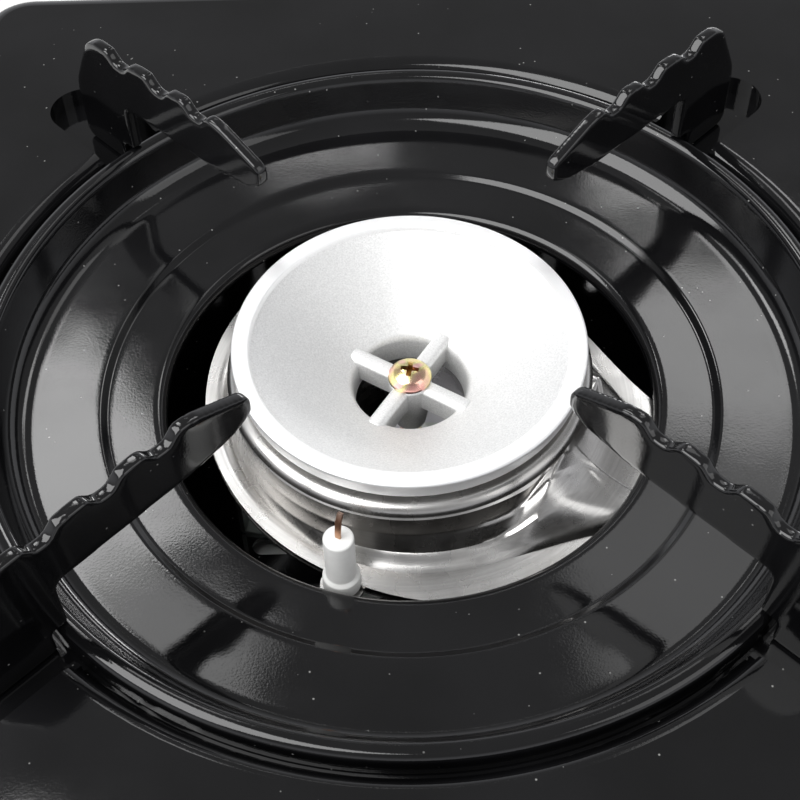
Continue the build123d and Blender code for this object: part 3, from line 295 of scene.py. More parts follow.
def shade(piece, angle):
    """Smooth the shading of a piece, with sharp edges above an angle in degrees."""
    only(piece)
    bpy.ops.object.shade_smooth_by_angle(angle=math.radians(angle))


def place_piece(piece, body, nodes, finish):
    """Hand a finished piece over: its body, the nodes it stands for and its material."""
    piece.data.materials.clear()
    piece.data.materials.append(finish)
    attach(piece, body)
    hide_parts(*nodes)


# ---- finishes --------------------------------------------
class Finish:
    """A material with a Principled shader, built node by node on Object coordinates."""

    def __init__(self, name, colour, **sockets):
        self.material = bpy.data.materials.new(name)
        self.material.use_nodes = True
        self.tree = self.material.node_tree
        self.shader = self.tree.nodes["Principled BSDF"]
        self.shader.inputs["Base Color"].default_value = (*colour, 1)
        for socket, value in sockets.items():
            self.shader.inputs[socket.replace("_", " ")].default_value = value

    def node(self, kind, **values):
        made = self.tree.nodes.new(kind)
        for key, value in values.items():
            setattr(made, key, value)
        return made

    def link(self, output, target):
        self.tree.links.new(output, target)

    def point(self, location=(0, 0, 0), scale=(1, 1, 1)):
        """Object coordinates, centred on a place and stretched."""
        source = self.node("ShaderNodeTexCoord")
        mapping = self.node("ShaderNodeMapping")
        mapping.inputs["Location"].default_value = [-l * s for l, s in zip(location, scale)]
        mapping.inputs["Scale"].default_value = scale
        self.link(source.outputs["Object"], mapping.inputs["Vector"])
        return mapping.outputs["Vector"]

    def split(self, centre=(0, 0, 0)):
        """The three Object coordinates, measured from a place."""
        made = self.node("ShaderNodeSeparateXYZ")
        self.link(self.point(centre), made.inputs["Vector"])
        return made.outputs

    def radius(self, centre):
        """Distance from an upright axis."""
        offset = self.point(location=centre, scale=(1, 1, 0))
        length = self.node("ShaderNodeVectorMath", operation="LENGTH")
        self.link(offset, length.inputs[0])
        return length.outputs["Value"]

    def round_point(self, centre):
        """Coordinates of radius and height only, so that a pattern runs round the axis."""
        join = self.node("ShaderNodeCombineXYZ")
        self.link(self.radius(centre), join.inputs["X"])
        self.link(self.split(centre)["Z"], join.inputs["Z"])
        return join.outputs["Vector"]

    def bearing(self, centre):
        """Direction round an upright axis, in radians, so that a pattern runs up and down."""
        place = self.split(centre)
        turn = self.node("ShaderNodeMath", operation="ARCTAN2")
        join = self.node("ShaderNodeCombineXYZ")
        self.link(place["Y"], turn.inputs[0])
        self.link(place["X"], turn.inputs[1])
        self.link(turn.outputs["Value"], join.inputs["X"])
        return join.outputs["Vector"]

    def noise(self, vector, scale, detail=2.0, roughness=0.5):
        made = self.node("ShaderNodeTexNoise")
        made.inputs["Scale"].default_value = scale
        made.inputs["Detail"].default_value = detail
        made.inputs["Roughness"].default_value = roughness
        self.link(vector, made.inputs["Vector"])
        return made.outputs["Fac"]

    def cells(self, vector, scale, output="Distance"):
        made = self.node("ShaderNodeTexVoronoi")
        made.inputs["Scale"].default_value = scale
        self.link(vector, made.inputs["Vector"])
        return made.outputs[output]

    def ramp(self, factor, stops):
        """Colour ramp from (position, colour or grey) stops."""
        made = self.node("ShaderNodeValToRGB")
        elements = made.color_ramp.elements
        while len(elements) < len(stops):
            elements.new(0.5)
        for element, (position, colour) in zip(elements, stops):
            element.position = position
            element.color = (*colour, 1) if isinstance(colour, tuple) else (*[colour] * 3, 1)
        self.link(factor, made.inputs["Fac"])
        return made.outputs["Color"]

    def multiply(self, first, second):
        made = self.node("ShaderNodeMath", operation="MULTIPLY")
        self.link(first, made.inputs[0])
        self.link(second, made.inputs[1])
        return made.outputs["Value"]

    def remap(self, value, low, high, to_low, to_high):
        """Value carried over from one range to another, held at the ends."""
        made = self.node("ShaderNodeMapRange")
        for socket, number in zip(("From Min", "From Max", "To Min", "To Max"),
                                  (low, high, to_low, to_high)):
            made.inputs[socket].default_value = number
        self.link(value, made.inputs["Value"])
        return made.outputs["Result"]

    def mix(self, factor, first, second, blend="MIX"):
        made = self.node("ShaderNodeMix", data_type="RGBA", blend_type=blend)
        self.link(factor, made.inputs[0])
        for socket, value in ((made.inputs[6], first), (made.inputs[7], second)):
            if isinstance(value, tuple):
                socket.default_value = (*value, 1)
            else:
                self.link(value, socket)
        return made.outputs[2]

    def bump(self, height, strength, distance, under=None):
        made = self.node("ShaderNodeBump")
        made.inputs["Strength"].default_value = strength
        made.inputs["Distance"].default_value = distance
        self.link(height, made.inputs["Height"])
        if under:
            self.link(under, made.inputs["Normal"])
        return made.outputs["Normal"]

    def colour(self, output):
        self.link(output, self.shader.inputs["Base Color"])

    def gloss(self, output):
        self.link(output, self.shader.inputs["Roughness"])

    def normal(self, output):
        self.link(output, self.shader.inputs["Normal"])


def tint(colour, factor):
    """Lighter or darker shade of a colour."""
    return tuple(min(channel * factor, 1.0) for channel in colour)


def enamel_finish(name, colour, peel=1.0):
    """Glossy fired enamel: fine orange peel, slow waves and pale pinpricks."""
    finish = Finish(name, colour, Roughness=0.07, IOR=1.54)
    point = finish.point()
    pinpricks = finish.ramp(finish.cells(point, 330), [(0.0, 1.0), (0.05, 0.6), (0.085, 0.0)])
    rare = finish.ramp(finish.noise(point, 150, 0), [(0.53, 0.0), (0.60, 1.0)])
    depth = finish.ramp(
        finish.noise(point, 30, 3), [(0.35, tint(colour, 0.6)), (0.7, tint(colour, 1.35))])
    finish.colour(finish.mix(finish.multiply(pinpricks, rare), depth, (0.30, 0.30, 0.29)))
    finish.gloss(finish.remap(finish.noise(point, 90, 4), 0.3, 0.7, 0.045, 0.10))
    waves = finish.bump(finish.noise(point, 48, 1), 0.13 * peel, 0.7 * MM)
    finish.normal(finish.bump(finish.noise(point, 2100, 2, 0.6), 0.20 * peel, 0.038 * MM, waves))
    return finish.material


def cast_finish(name, colour, rim_inner, side_inner):
    """Blasted cast metal, brighter on its machined rim and scored up and down on its side."""
    finish = Finish(name, colour, Metallic=0.75, Roughness=0.5)
    point = finish.point()
    grain = finish.noise(point, 2600, 3, 0.7)
    mottle = finish.noise(point, 70, 4, 0.6)
    body = finish.ramp(grain, [
        (0.30, tint(colour, 0.80)), (0.55, tint(colour, 0.98)), (0.78, tint(colour, 1.16))])
    shadowed = finish.mix(finish.remap(mottle, 0.3, 0.7, 0.0, 0.35), body, tint(colour, 0.86))
    on_rim = finish.remap(finish.radius(BURNER), rim_inner - 0.4 * MM, rim_inner, 0.0, 1.0)
    finish.colour(finish.mix(on_rim, shadowed, tint(colour, 1.22)))
    finish.gloss(finish.remap(on_rim, 0, 1, 0.55, 0.42))
    coarse = finish.bump(finish.noise(point, 420, 3), 0.16, 0.10 * MM)
    on_side = finish.remap(finish.radius(BURNER), side_inner, side_inner + 0.3 * MM, 0.0, 1.0)
    score = finish.multiply(finish.noise(finish.bearing(BURNER), 260, 2), on_side)
    scored = finish.bump(score, 0.25, 0.12 * MM, coarse)
    finish.normal(finish.bump(grain, 0.30, 0.06 * MM, scored))
    return finish.material


def spun_steel_finish(name, colour, centre):
    """Bare drawn steel with faint marks running round the axis, with painted shade that darkens it
    where it is steep.
    """
    finish = Finish(name, colour, Metallic=1.0, Roughness=0.27)
    ring_point = finish.round_point(centre)
    point = finish.point()
    streak = finish.noise(ring_point, 1500, 3, 0.65)
    stain = finish.noise(point, 45, 4, 0.6)
    body = finish.ramp(streak, [(0.3, tint(colour, 0.86)), (0.7, tint(colour, 1.12))])
    stained = finish.mix(finish.remap(stain, 0.35, 0.75, 0.0, 0.5), body, (0.44, 0.42, 0.395))
    # painted shade: where the normal is steep the steel is darkened towards (0.17, 0.16, 0.15),
    # standing in for shade on the burner's wall
    lie = finish.node("ShaderNodeSeparateXYZ")
    finish.link(finish.node("ShaderNodeNewGeometry").outputs["Normal"], lie.inputs["Vector"])
    steep_painted_shade = finish.remap(lie.outputs["Z"], 0.25, 0.85, 0.85, 0.0)
    finish.colour(finish.mix(steep_painted_shade, stained, (0.17, 0.16, 0.15)))
    finish.gloss(finish.remap(finish.noise(point, 160, 4), 0.3, 0.7, 0.22, 0.33))
    fine = finish.bump(streak, 0.10, 0.05 * MM)
    finish.normal(finish.bump(finish.noise(point, 90, 2), 0.12, 0.25 * MM, fine))
    return finish.material


def chromate_finish(name, recess_depth, recess_radius):
    """Yellow zinc plating that shimmers between gold, rose and green, with painted shade in dark
    brown at the floor of the recess.
    """
    finish = Finish(name, (0.85, 0.66, 0.36), Metallic=1.0, Roughness=0.24)
    drift = finish.noise(finish.point(), 210, 1, 0.5)
    plating = finish.ramp(drift, [
        (0.32, (0.88, 0.46, 0.40)), (0.42, (0.93, 0.66, 0.46)), (0.50, (0.90, 0.72, 0.36)),
        (0.58, (0.78, 0.74, 0.34)), (0.68, (0.87, 0.52, 0.50))])
    # painted shade: below the top of the recess and inside its radius the plating is painted dark
    # brown (0.30, 0.15, 0.04), standing in for the shade in the cross recess
    top = BURNER.z - recess_depth
    deep = finish.remap(finish.split()["Z"], top + 0.5 * MM, top, 0.0, 1.0)
    recess_shade_core = finish.remap(
        finish.radius(BURNER), recess_radius - 0.2 * MM, recess_radius, 1.0, 0.0)
    finish.colour(finish.mix(finish.multiply(deep, recess_shade_core), plating, (0.30, 0.15, 0.04)))
    finish.gloss(finish.remap(drift, 0.3, 0.7, 0.18, 0.32))
    finish.normal(finish.bump(finish.noise(finish.point(), 1800, 2), 0.08, 0.05 * MM))
    return finish.material


def zinc_finish(name, colour=(0.66, 0.67, 0.68)):
    """Galvanised sheet and zinc-plated steel with a soft spangle."""
    finish = Finish(name, colour, Metallic=1.0, Roughness=0.38)
    point = finish.point()
    spangle = finish.cells(point, 120, "Color")
    cloudy = finish.noise(point, 60, 4, 0.6)
    flakes = finish.mix(finish.remap(cloudy, 0.3, 0.7, 0.06, 0.22), colour, spangle, "OVERLAY")
    finish.colour(flakes)
    finish.gloss(finish.remap(cloudy, 0.3, 0.7, 0.30, 0.50))
    finish.normal(finish.bump(finish.noise(point, 700, 3), 0.10, 0.06 * MM))
    return finish.material


def metal_finish(name, colour, roughness, grain=900):
    """Turned or cast small metal parts."""
    finish = Finish(name, colour, Metallic=1.0, Roughness=roughness)
    point = finish.point()
    mottle = finish.noise(point, grain, 3, 0.6)
    finish.colour(finish.ramp(mottle, [(0.3, tint(colour, 0.84)), (0.7, tint(colour, 1.12))]))
    finish.gloss(finish.remap(mottle, 0.3, 0.7, roughness * 0.85, roughness * 1.2))
    finish.normal(finish.bump(mottle, 0.12, 0.06 * MM))
    return finish.material


def moulded_finish(name, colour, roughness, grain=1400, strength=0.15):
    """Moulded plastic or rubber with a fine texture."""
    finish = Finish(name, colour, Roughness=roughness)
    point = finish.point()
    texture = finish.noise(point, grain, 3, 0.6)
    drift = finish.noise(point, 40, 2)
    finish.colour(finish.ramp(drift, [(0.3, tint(colour, 0.85)), (0.7, tint(colour, 1.15))]))
    finish.gloss(finish.remap(texture, 0.3, 0.7, roughness * 0.9, roughness * 1.12))
    finish.normal(finish.bump(texture, strength, 0.05 * MM))
    return finish.material


def ceramic_finish(name, colour):
    """White fired ceramic, slightly uneven."""
    finish = Finish(name, colour, Roughness=0.38)
    point = finish.point()
    finish.colour(finish.ramp(
        finish.noise(point, 260, 4), [(0.3, tint(colour, 0.93)), (0.7, tint(colour, 1.04))]))
    finish.normal(finish.bump(finish.noise(point, 900, 2), 0.12, 0.06 * MM))
    return finish.material


def hot_pin_finish(name, tip_height):
    """Electrode wire, blued and browned towards its tip."""
    finish = Finish(name, (0.45, 0.28, 0.18), Metallic=1.0, Roughness=0.42)
    heat = finish.remap(finish.split()["Z"], tip_height - 9 * MM, tip_height, 0, 1)
    finish.colour(finish.ramp(heat, [
        (0.0, (0.55, 0.42, 0.30)), (0.45, (0.50, 0.27, 0.16)), (0.8, (0.36, 0.19, 0.12)),
        (1.0, (0.22, 0.16, 0.13))]))
    finish.normal(finish.bump(finish.noise(finish.point(), 1500, 3), 0.25, 0.06 * MM))
    return finish.material


def floor_finish(name, colour):
    """Plain matt surface with a faint drift of tone."""
    finish = Finish(name, colour, Roughness=0.65)
    cloudy = finish.noise(finish.point(), 6, 3)
    finish.colour(finish.ramp(cloudy, [(0.3, tint(colour, 0.985)), (0.7, tint(colour, 1.01))]))
    return finish.material


finishes = {}


def make_finishes(colours):
    """Every finish of the stove, made once."""
    if finishes:
        return finishes
    finishes.update(
        enamel=enamel_finish("black_enamel", tuple(colours.enamel)),
        case_enamel=enamel_finish("case_enamel", tuple(colours.enamel), 0.8),
        cast=cast_finish("blasted_casting", tuple(colours.cast_metal), 34.2 * MM, 37.0 * MM),
        steel=spun_steel_finish("drawn_steel", tuple(colours.steel), BURNER),
        chromate=chromate_finish("yellow_zinc", 10.5 * MM, 2.5 * MM),
        zinc=zinc_finish("galvanised_sheet"),
        bright_zinc=zinc_finish("bright_zinc", (0.74, 0.74, 0.75)),
        die_cast=metal_finish("die_casting", (0.58, 0.58, 0.59), 0.48, 600),
        brass=metal_finish("turned_brass", (0.78, 0.60, 0.28), 0.28),
        copper=metal_finish("copper_pipe", (0.78, 0.46, 0.32), 0.30),
        ceramic=ceramic_finish("fired_ceramic", tuple(colours.ceramic)),
        pin=hot_pin_finish("electrode_wire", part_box("electrode_pin")[1].z),
        plastic=moulded_finish("black_plastic", tuple(colours.plastic), 0.36),
        panel=moulded_finish("panel_plastic", (0.045, 0.045, 0.048), 0.45),
        igniter=moulded_finish("cream_plastic", (0.62, 0.58, 0.48), 0.45),
        rubber=moulded_finish("black_rubber", (0.020, 0.020, 0.020), 0.62, 700, 0.3),
    )
    return finishes


# ---- pieces ----------------------------------------------
class StovePiece:
    """What the stove's operators share."""
    bl_options = {"REGISTER", "UNDO"}

    def settings(self, context):
        scene = context.scene
        return scene.stove_sizes, scene.stove_colours, make_finishes(scene.stove_colours)


class STOVE_OT_burner_head(StovePiece, bpy.types.Operator):
    """Cast dish with a stepped rim, a ring of flame ports, a throat and a four-spoke cross"""
    bl_idname = "stove.burner_head"
    bl_label = "Burner Head"

    STEPS_PER_PORT = 4          # one step of gap and three of tooth
    TOOTH_TOP, TOOTH_DEPTH, TOOTH_INNER, TOOTH_OUTER = -5.4, 1.4, 31.0, 33.0
    HUB_FOOT = -27.0
    SPOKES, SPOKE_AZIMUTH, SPOKE_BEND = 4, 57.0, 1.3
    SPOKE_TOP, SPOKE_SHOULDER, SPOKE_FOOT = -12.5, -13.3, -18.4

    def execute(self, context):
        sizes, _, finish = self.settings(context)
        radius = sizes.head_radius / MM
        head = draw_section("cast_head", [
            (radius, -0.35, 0.5), (radius - 0.35, 0.0, 0.3), (34.25, 0.0, 0.35),
            (33.95, -1.05, 0.5), (12.7, -13.9, 2.4), (12.1, -20.5, 0.5), (13.9, -20.5, 0.5),
            (14.1, -16.2, 2.0), (30.5, self.TOOTH_TOP), (33.3, self.TOOTH_TOP),
            (33.4, -4.4, 0.3), (radius - 0.7, -4.4, 0.4)], closed=True, segments=4)
        steps = sizes.ports * self.STEPS_PER_PORT
        spin_section(head, steps)
        pick(head, "FACE", lambda co: self.in_tooth(co, steps))
        extrude(z=-self.TOOTH_DEPTH * MM)
        to_object_mode()
        combine(head, self.make_cross(sizes.spoke_width), "UNION")
        shade(head, 32)
        set_down(head, BURNER)
        place_piece(head, "stove", ["burner_head"], finish["cast"])
        return {"FINISHED"}

    def in_tooth(self, co, steps):
        """Whether a point of the underside lies where a tooth hangs down between two ports."""
        if abs(co.z / MM - self.TOOTH_TOP) > 0.01:
            return False
        if not self.TOOTH_INNER < math.hypot(co.x, co.y) / MM < self.TOOTH_OUTER:
            return False
        step = int(math.atan2(co.y, co.x) % math.tau / math.tau * steps)
        return step % self.STEPS_PER_PORT != 0

    def make_cross(self, width):
        """Four level spokes with rounded tops, round a hub that takes the screw."""
        hub = draw_section("cross", [
            (0, HUB_TOP), (4.8, HUB_TOP, 0.9), (4.4, -20.5, 1.0), (3.5, self.HUB_FOOT, 0.5),
            (0, self.HUB_FOOT)], segments=4)
        spin_section(hub, 48)
        to_object_mode()
        spokes = []
        for index in range(self.SPOKES):
            spoke = draw_section("spoke", [
                (0.5, self.SPOKE_TOP), (14.7, self.SPOKE_TOP, 0.9), (15.7, self.SPOKE_SHOULDER),
                (14.2, -16.4), (13.4, self.SPOKE_FOOT, 1.0), (0.5, self.SPOKE_FOOT)],
                closed=True, segments=5)
            thicken(width)
            pick(spoke, "EDGE", lambda co: (
                abs(abs(co.y) - width / 2) < CLOSE and co.x > MM
                and co.z > (self.SPOKE_SHOULDER + 0.1) * MM))
            bpy.ops.mesh.bevel(offset=self.SPOKE_BEND * MM, segments=5, affect="EDGES")
            turn_piece(self.SPOKE_AZIMUTH + index * 360 / self.SPOKES)
            to_object_mode()
            spokes.append(spoke)
        for spoke in spokes:
            combine(hub, spoke, "UNION")
        return hub


class STOVE_OT_upper_shell(StovePiece, bpy.types.Operator):
    """Pressed upper half of the burner: shoulder, flaring wall, saddle into the tube, flange"""
    bl_idname = "stove.upper_shell"
    bl_label = "Upper Burner Shell"

    LIP, SHOULDER, SHOULDER_TOP, SHOULDER_BEND = 30.8, 39.2, -6.8, 2.1
    WALL_TOP, SEAM = -9.0, -21.5
    WALL_ROWS, FLANGE_ROWS, STEPS = 32, 4, 300
    TUBE_AZIMUTH, TUBE_HALF_WIDTH, TUBE_REACH, TUBE_RISE = -26.0, 10.0, 100.0, 3.4
    OVAL_AZIMUTH, OVAL_LONG, OVAL_SHORT, OVAL_SHIFT = -70.0, 45.5, 40.0, 0.6
    FLARE = 26.0                # radius of the corners between bowl and tube
    FLANGE, FLANGE_HALF_WIDTH = 4.6, 13.0
    WIDE_AZIMUTH, WIDE_SWING, WIDE_EXTRA = -68.0, 50.0, 3.4
    SADDLE_START, SADDLE_RUN, SADDLE_SHARE = -0.037, 22.0, 0.9
    SADDLE_SWING, SADDLE_FADE, SADDLE_BLEND, TUBE_EDGE = 50.0, 34.0, 3.0, 2.2
    EAR_RADIUS, EAR_HOLE = 4.6, 3.2
    # the wall's form, as shares of its drop and of its flare
    WALL_FORM = ((0, 0.0), (0.4, 0.14), (0.75, 0.45), (1, 1.0))
    LEVEL = 0.001               # millimetres that count as nothing

    def execute(self, context):
        sizes, _, finish = self.settings(context)
        sheet = sizes.burner_sheet / MM
        self.flange_top = self.SEAM + sheet
        shell = draw_section("pressed_shell", [
            (self.LIP, self.SHOULDER_TOP), (self.SHOULDER, self.SHOULDER_TOP, self.SHOULDER_BEND),
            (self.SHOULDER, self.WALL_TOP)], segments=8)
        pick(shell, "VERT", lambda co: abs(co.z - self.WALL_TOP * MM) < CLOSE)
        for _ in range(self.WALL_ROWS):
            extrude(x=MM / self.WALL_ROWS, z=-MM / self.WALL_ROWS)
        for _ in range(self.FLANGE_ROWS):
            extrude(x=MM)
        spin_section(shell, self.STEPS)
        self.press(shell)
        face_outwards()
        to_object_mode()
        apply_modifier(shell, "SOLIDIFY", thickness=sheet * MM, offset=-1.0,
                       use_even_offset=True, thickness_clamp=1.0)
        self.add_ear(shell, sheet)
        shade(shell, 30)
        set_down(shell, BURNER)
        place_piece(shell, "stove", ["burner_upper_shell"], finish["steel"])
        return {"FINISHED"}

    def tube_frame(self, x, y):
        """Position along the mixing tube and across it."""
        turn = math.radians(self.TUBE_AZIMUTH)
        return x * math.cos(turn) + y * math.sin(turn), y * math.cos(turn) - x * math.sin(turn)

    def bowl_reach(self, x, y):
        """Distance from the axis to the foot of the oval wall, in the direction of a point."""
        turn = math.atan2(y, x) - math.radians(self.OVAL_AZIMUTH)
        spread = math.hypot(self.OVAL_SHORT * math.cos(turn), self.OVAL_LONG * math.sin(turn))
        return self.OVAL_LONG * self.OVAL_SHORT / spread - self.OVAL_SHIFT * math.sin(turn)

    def outside(self, x, y, half_width):
        """How far a point lies outside the bowl and a tube of this half width, negative inside."""
        bowl = math.hypot(x, y) - self.bowl_reach(x, y)
        along, across = self.tube_frame(x, y)
        tube = abs(across) - half_width if along > 0 else self.TUBE_REACH
        return max(self.FLARE, min(bowl, tube)) - math.hypot(
            max(self.FLARE - bowl, 0), max(self.FLARE - tube, 0))

    def reach(self, azimuth, half_width, margin=0.0):
        """Distance from the axis to the outline that lies a margin outside bowl and tube."""
        low, high = self.LIP, self.TUBE_REACH + 2
        for _ in range(24):
            middle = (low + high) / 2
            x, y = middle * math.cos(azimuth), middle * math.sin(azimuth)
            if self.outside(x, y, half_width) < margin:
                low = middle
            else:
                high = middle
        swing = azimuth - math.radians(self.TUBE_AZIMUTH)
        return min(low, self.TUBE_REACH / max(math.cos(swing), 0.2))

    def height(self, x, y):
        """Height of the pressed surface: the wall, blended into the saddle and the tube."""
        floor = self.flange_top
        flare = (math.hypot(x, y) - self.SHOULDER) / (self.bowl_reach(x, y) - self.SHOULDER)
        drop = read_table(flare, [(wide, deep) for deep, wide in self.WALL_FORM])
        wall = self.WALL_TOP + drop * (floor - self.WALL_TOP)
        along, across = self.tube_frame(x, y)
        inside = -self.outside(x, y, self.TUBE_HALF_WIDTH)
        if along <= 0 or inside <= 0:
            return wall
        run = min(max((along - self.SHOULDER) / self.SADDLE_RUN, self.SADDLE_START), 1.0)
        fall = self.WALL_TOP - self.SEAM - self.TUBE_RISE
        rise = self.TUBE_RISE + self.SADDLE_SHARE * (1 - run) ** 3 * fall
        edge = min(inside / (self.TUBE_EDGE + 0.5 * rise), 1.0)
        swing = abs(math.degrees(math.atan2(across, along)))
        fade = min(max((self.SADDLE_SWING - swing) / self.SADDLE_FADE, 0.0), 1.0)
        fade = fade * fade * (3 - 2 * fade)
        saddle = floor + (self.SEAM + rise - floor) * math.sin(math.pi / 2 * edge) * fade
        blend = max(1 - abs(saddle - wall) / self.SADDLE_BLEND, 0)
        return max(saddle, wall) + blend * blend * self.SADDLE_BLEND / 4

    def margin(self, azimuth):
        """Width of the flange: wider where it runs under the edge of the pan."""
        swing = (math.degrees(azimuth) - self.WIDE_AZIMUTH + 180) % 360 - 180
        if abs(swing) >= self.WIDE_SWING:
            return self.FLANGE
        return self.FLANGE + self.WIDE_EXTRA * math.cos(math.pi / 2 * swing / self.WIDE_SWING) ** 2

    def press(self, shell):
        """Draw the round blank out to the oval wall, the saddle, the tube and the flange."""
        blank = bmesh.from_edit_mesh(shell.data)
        for vert in blank.verts:
            radius, depth = math.hypot(vert.co.x, vert.co.y) / MM, -vert.co.z / MM
            swing = math.atan2(vert.co.y, vert.co.x)
            crowd = 0.22 + 0.78 * (abs(swing) / math.pi) ** 1.3     # finer towards the tube
            azimuth = math.radians(self.TUBE_AZIMUTH) + swing * crowd
            direction = Vector((math.cos(azimuth), math.sin(azimuth), 0))
            drop = min(depth + self.WALL_TOP, 1.0)
            if drop < -self.LEVEL or radius < self.SHOULDER - self.LEVEL:
                vert.co = direction * radius * MM + Vector((0, 0, -depth * MM))
                continue
            foot = self.reach(azimuth, self.TUBE_HALF_WIDTH)
            row = radius - self.SHOULDER - 1
            if row > self.LEVEL:
                edge = self.reach(azimuth, self.FLANGE_HALF_WIDTH, self.margin(azimuth))
                spot = direction * (foot + (edge - foot) * row / self.FLANGE_ROWS)
                level = self.flange_top
            else:
                flare = read_table(drop, self.WALL_FORM)
                spot = direction * (self.SHOULDER + (foot - self.SHOULDER) * flare)
                level = self.WALL_TOP if drop < self.LEVEL else self.flange_top
                if self.LEVEL < drop < 1 - self.LEVEL:
                    level = min(self.height(spot.x, spot.y), self.WALL_TOP - 0.3 * drop)
            vert.co = (spot + Vector((0, 0, level))) * MM
        bmesh.update_edit_mesh(shell.data)

    def add_ear(self, shell, sheet):
        """Ear of the flange with the hole for the spark electrode."""
        low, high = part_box("electrode_ceramic")
        place = ((low.x + high.x) / 2 - BURNER.x, (low.y + high.y) / 2 - BURNER.y)
        for radius, depth, operation in ((self.EAR_RADIUS, sheet, "UNION"),
                                         (self.EAR_HOLE, 6.0, "DIFFERENCE")):
            to_object_mode()
            bpy.ops.object.select_all(action="DESELECT")
            bpy.ops.mesh.primitive_cylinder_add(
                vertices=64, radius=radius * MM, depth=depth * MM,
                location=(*place, (self.flange_top - sheet / 2 - 0.01) * MM))
            combine(shell, bpy.context.object, operation)


class STOVE_OT_burner_screw(StovePiece, bpy.types.Operator):
    """Pan-head screw with a cross recess that holds the head down"""
    bl_idname = "stove.burner_screw"
    bl_label = "Burner Screw"

    HEAD_RADIUS, SHANK_RADIUS, SHANK = 4.8, 2.5, 27.6
    RECESS_AZIMUTH, RECESS_WIDTH = -11.0, 1.1

    def execute(self, context):
        _, _, finish = self.settings(context)
        screw = draw_section("head_screw", [
            (0, 3.1), (1.9, 3.0, 3.2), (3.7, 2.1, 2.0), (self.HEAD_RADIUS, 0.75, 0.8),
            (self.HEAD_RADIUS, 0.0, 0.2), (self.SHANK_RADIUS, 0.0),
            (self.SHANK_RADIUS, -self.SHANK, 0.4), (0, -self.SHANK)], segments=5)
        spin_section(screw, 72)
        to_object_mode()
        first, second = (self.make_recess(self.RECESS_AZIMUTH + turn) for turn in (0, 90))
        combine(first, second, "UNION")
        combine(screw, first, "DIFFERENCE")
        shade(screw, 35)
        set_down(screw, BURNER + Vector((0, 0, HUB_TOP * MM)))
        place_piece(screw, "stove", ["burner_screw"], finish["chromate"])
        return {"FINISHED"}

    def make_recess(self, azimuth):
        """One slot of the cross recess, tapering downwards."""
        slot = draw_section(
            "recess", [(-2.35, 3.6), (-1.2, 1.2), (1.2, 1.2), (2.35, 3.6)], closed=True)
        thicken(self.RECESS_WIDTH * MM)
        turn_piece(azimuth)
        to_object_mode()
        return slot


class STOVE_OT_drip_pan(StovePiece, bpy.types.Operator):
    """Pressed pan: rounded hole edge, stepped floor, steep wall and rolled rim"""
    bl_idname = "stove.drip_pan"
    bl_label = "Drip Pan"

    HOLE, RIM, RIM_TOP = 53.6, 93.9, -2.0

    def execute(self, context):
        sizes, _, finish = self.settings(context)
        # points without a bend stand beside the bends, so that the floors between stay flat
        pan = draw_section("enamelled_pan", [
            (self.HOLE, -17.8), (self.HOLE, -15.1, 2.4), (56.6, -15.05), (64.9, -14.9),
            (66.2, -14.88, 1.4), (67.8, -13.9, 1.4), (69.2, -13.87), (81.0, -13.65),
            (86.2, -13.55, 5.5), (89.5, -4.0, 1.5), (90.2, self.RIM_TOP, 1.7),
            (self.RIM, self.RIM_TOP, 1.9), (self.RIM, -7.6)], segments=6)
        spin_section(pan, 192)
        to_object_mode()
        apply_modifier(pan, "SOLIDIFY", thickness=sizes.pan_sheet, offset=-1.0,
                       use_even_offset=True)
        apply_modifier(pan, "BEVEL", width=0.3 * MM, segments=3, limit_method="ANGLE",
                       angle_limit=math.radians(50))
        shade(pan, 40)
        set_down(pan, BURNER)
        place_piece(pan, "pan", ["drip_pan"], finish["enamel"])
        return {"FINISHED"}


class STOVE_OT_pan_arms(StovePiece, bpy.types.Operator):
    """Four blade arms with grooved tops, softened by their enamel"""
    bl_idname = "stove.pan_arms"
    bl_label = "Pan Arms"

    DIRECTIONS = ("back_right", "back_left", "front_left", "front_right")
    AZIMUTH = 44.3
    GROOVES = ((64.0, 26.2), (77.0, 25.9), (91.0, 25.5))        # place and level of the crest
    GROOVE_DEPTH, GROOVE_TOP, GROOVE_FLOOR = 2.5, 4.0, 1.6      # depth and half widths
    TIP, OUTER, FOOT, FOOT_INNER, LEG_INNER = 43.6, 111.0, -7.7, 95.2, 91.3
    GRID, ROUNDS = 0.42, 15                                     # of the softening

    def execute(self, context):
        sizes, _, finish = self.settings(context)
        for index, direction in enumerate(self.DIRECTIONS):
            arm = self.make_arm("blade_" + direction, sizes.arm_thickness)
            only(arm)
            bpy.ops.object.mode_set(mode="EDIT")
            turn_piece(self.AZIMUTH + index * 360 / len(self.DIRECTIONS))
            set_down(arm, BURNER)
            place_piece(arm, "pan", ["pan_arm_" + direction], finish["enamel"])
        return {"FINISHED"}

    def make_arm(self, name, thickness):
        """One blade along +X: pointed tip, grooved crest, and a leg with its foot in the slot."""
        outline = [(self.TIP, 16.6, 2.2), (43.2, 21.2, 2.6), (57.0, 26.4, 12.0)]
        for groove, level in self.GROOVES:
            floor = level - self.GROOVE_DEPTH
            outline += [
                (groove - self.GROOVE_TOP, level, 2.0), (groove - self.GROOVE_FLOOR, floor, 1.8),
                (groove + self.GROOVE_FLOOR, floor, 1.8), (groove + self.GROOVE_TOP, level, 2.0)]
        outline += [
            (102.5, 25.2, 6.0), (self.OUTER, 9.0, 12.0), (self.OUTER, self.FOOT, 2.5),
            (self.FOOT_INNER, self.FOOT, 0.6), (self.FOOT_INNER, -1.7),
            (self.LEG_INNER, -1.7, 0.6), (self.LEG_INNER, 11.0, 2.0), (58.0, 12.2, 14.0),
            (48.0, 14.0, 9.0)]
        arm = draw_section(name, outline, closed=True, segments=6)
        thicken(thickness)
        to_object_mode()
        apply_modifier(arm, "REMESH", mode="VOXEL", voxel_size=self.GRID * MM,
                       use_smooth_shade=True)
        apply_modifier(arm, "SMOOTH", factor=0.5, iterations=self.ROUNDS)
        return arm


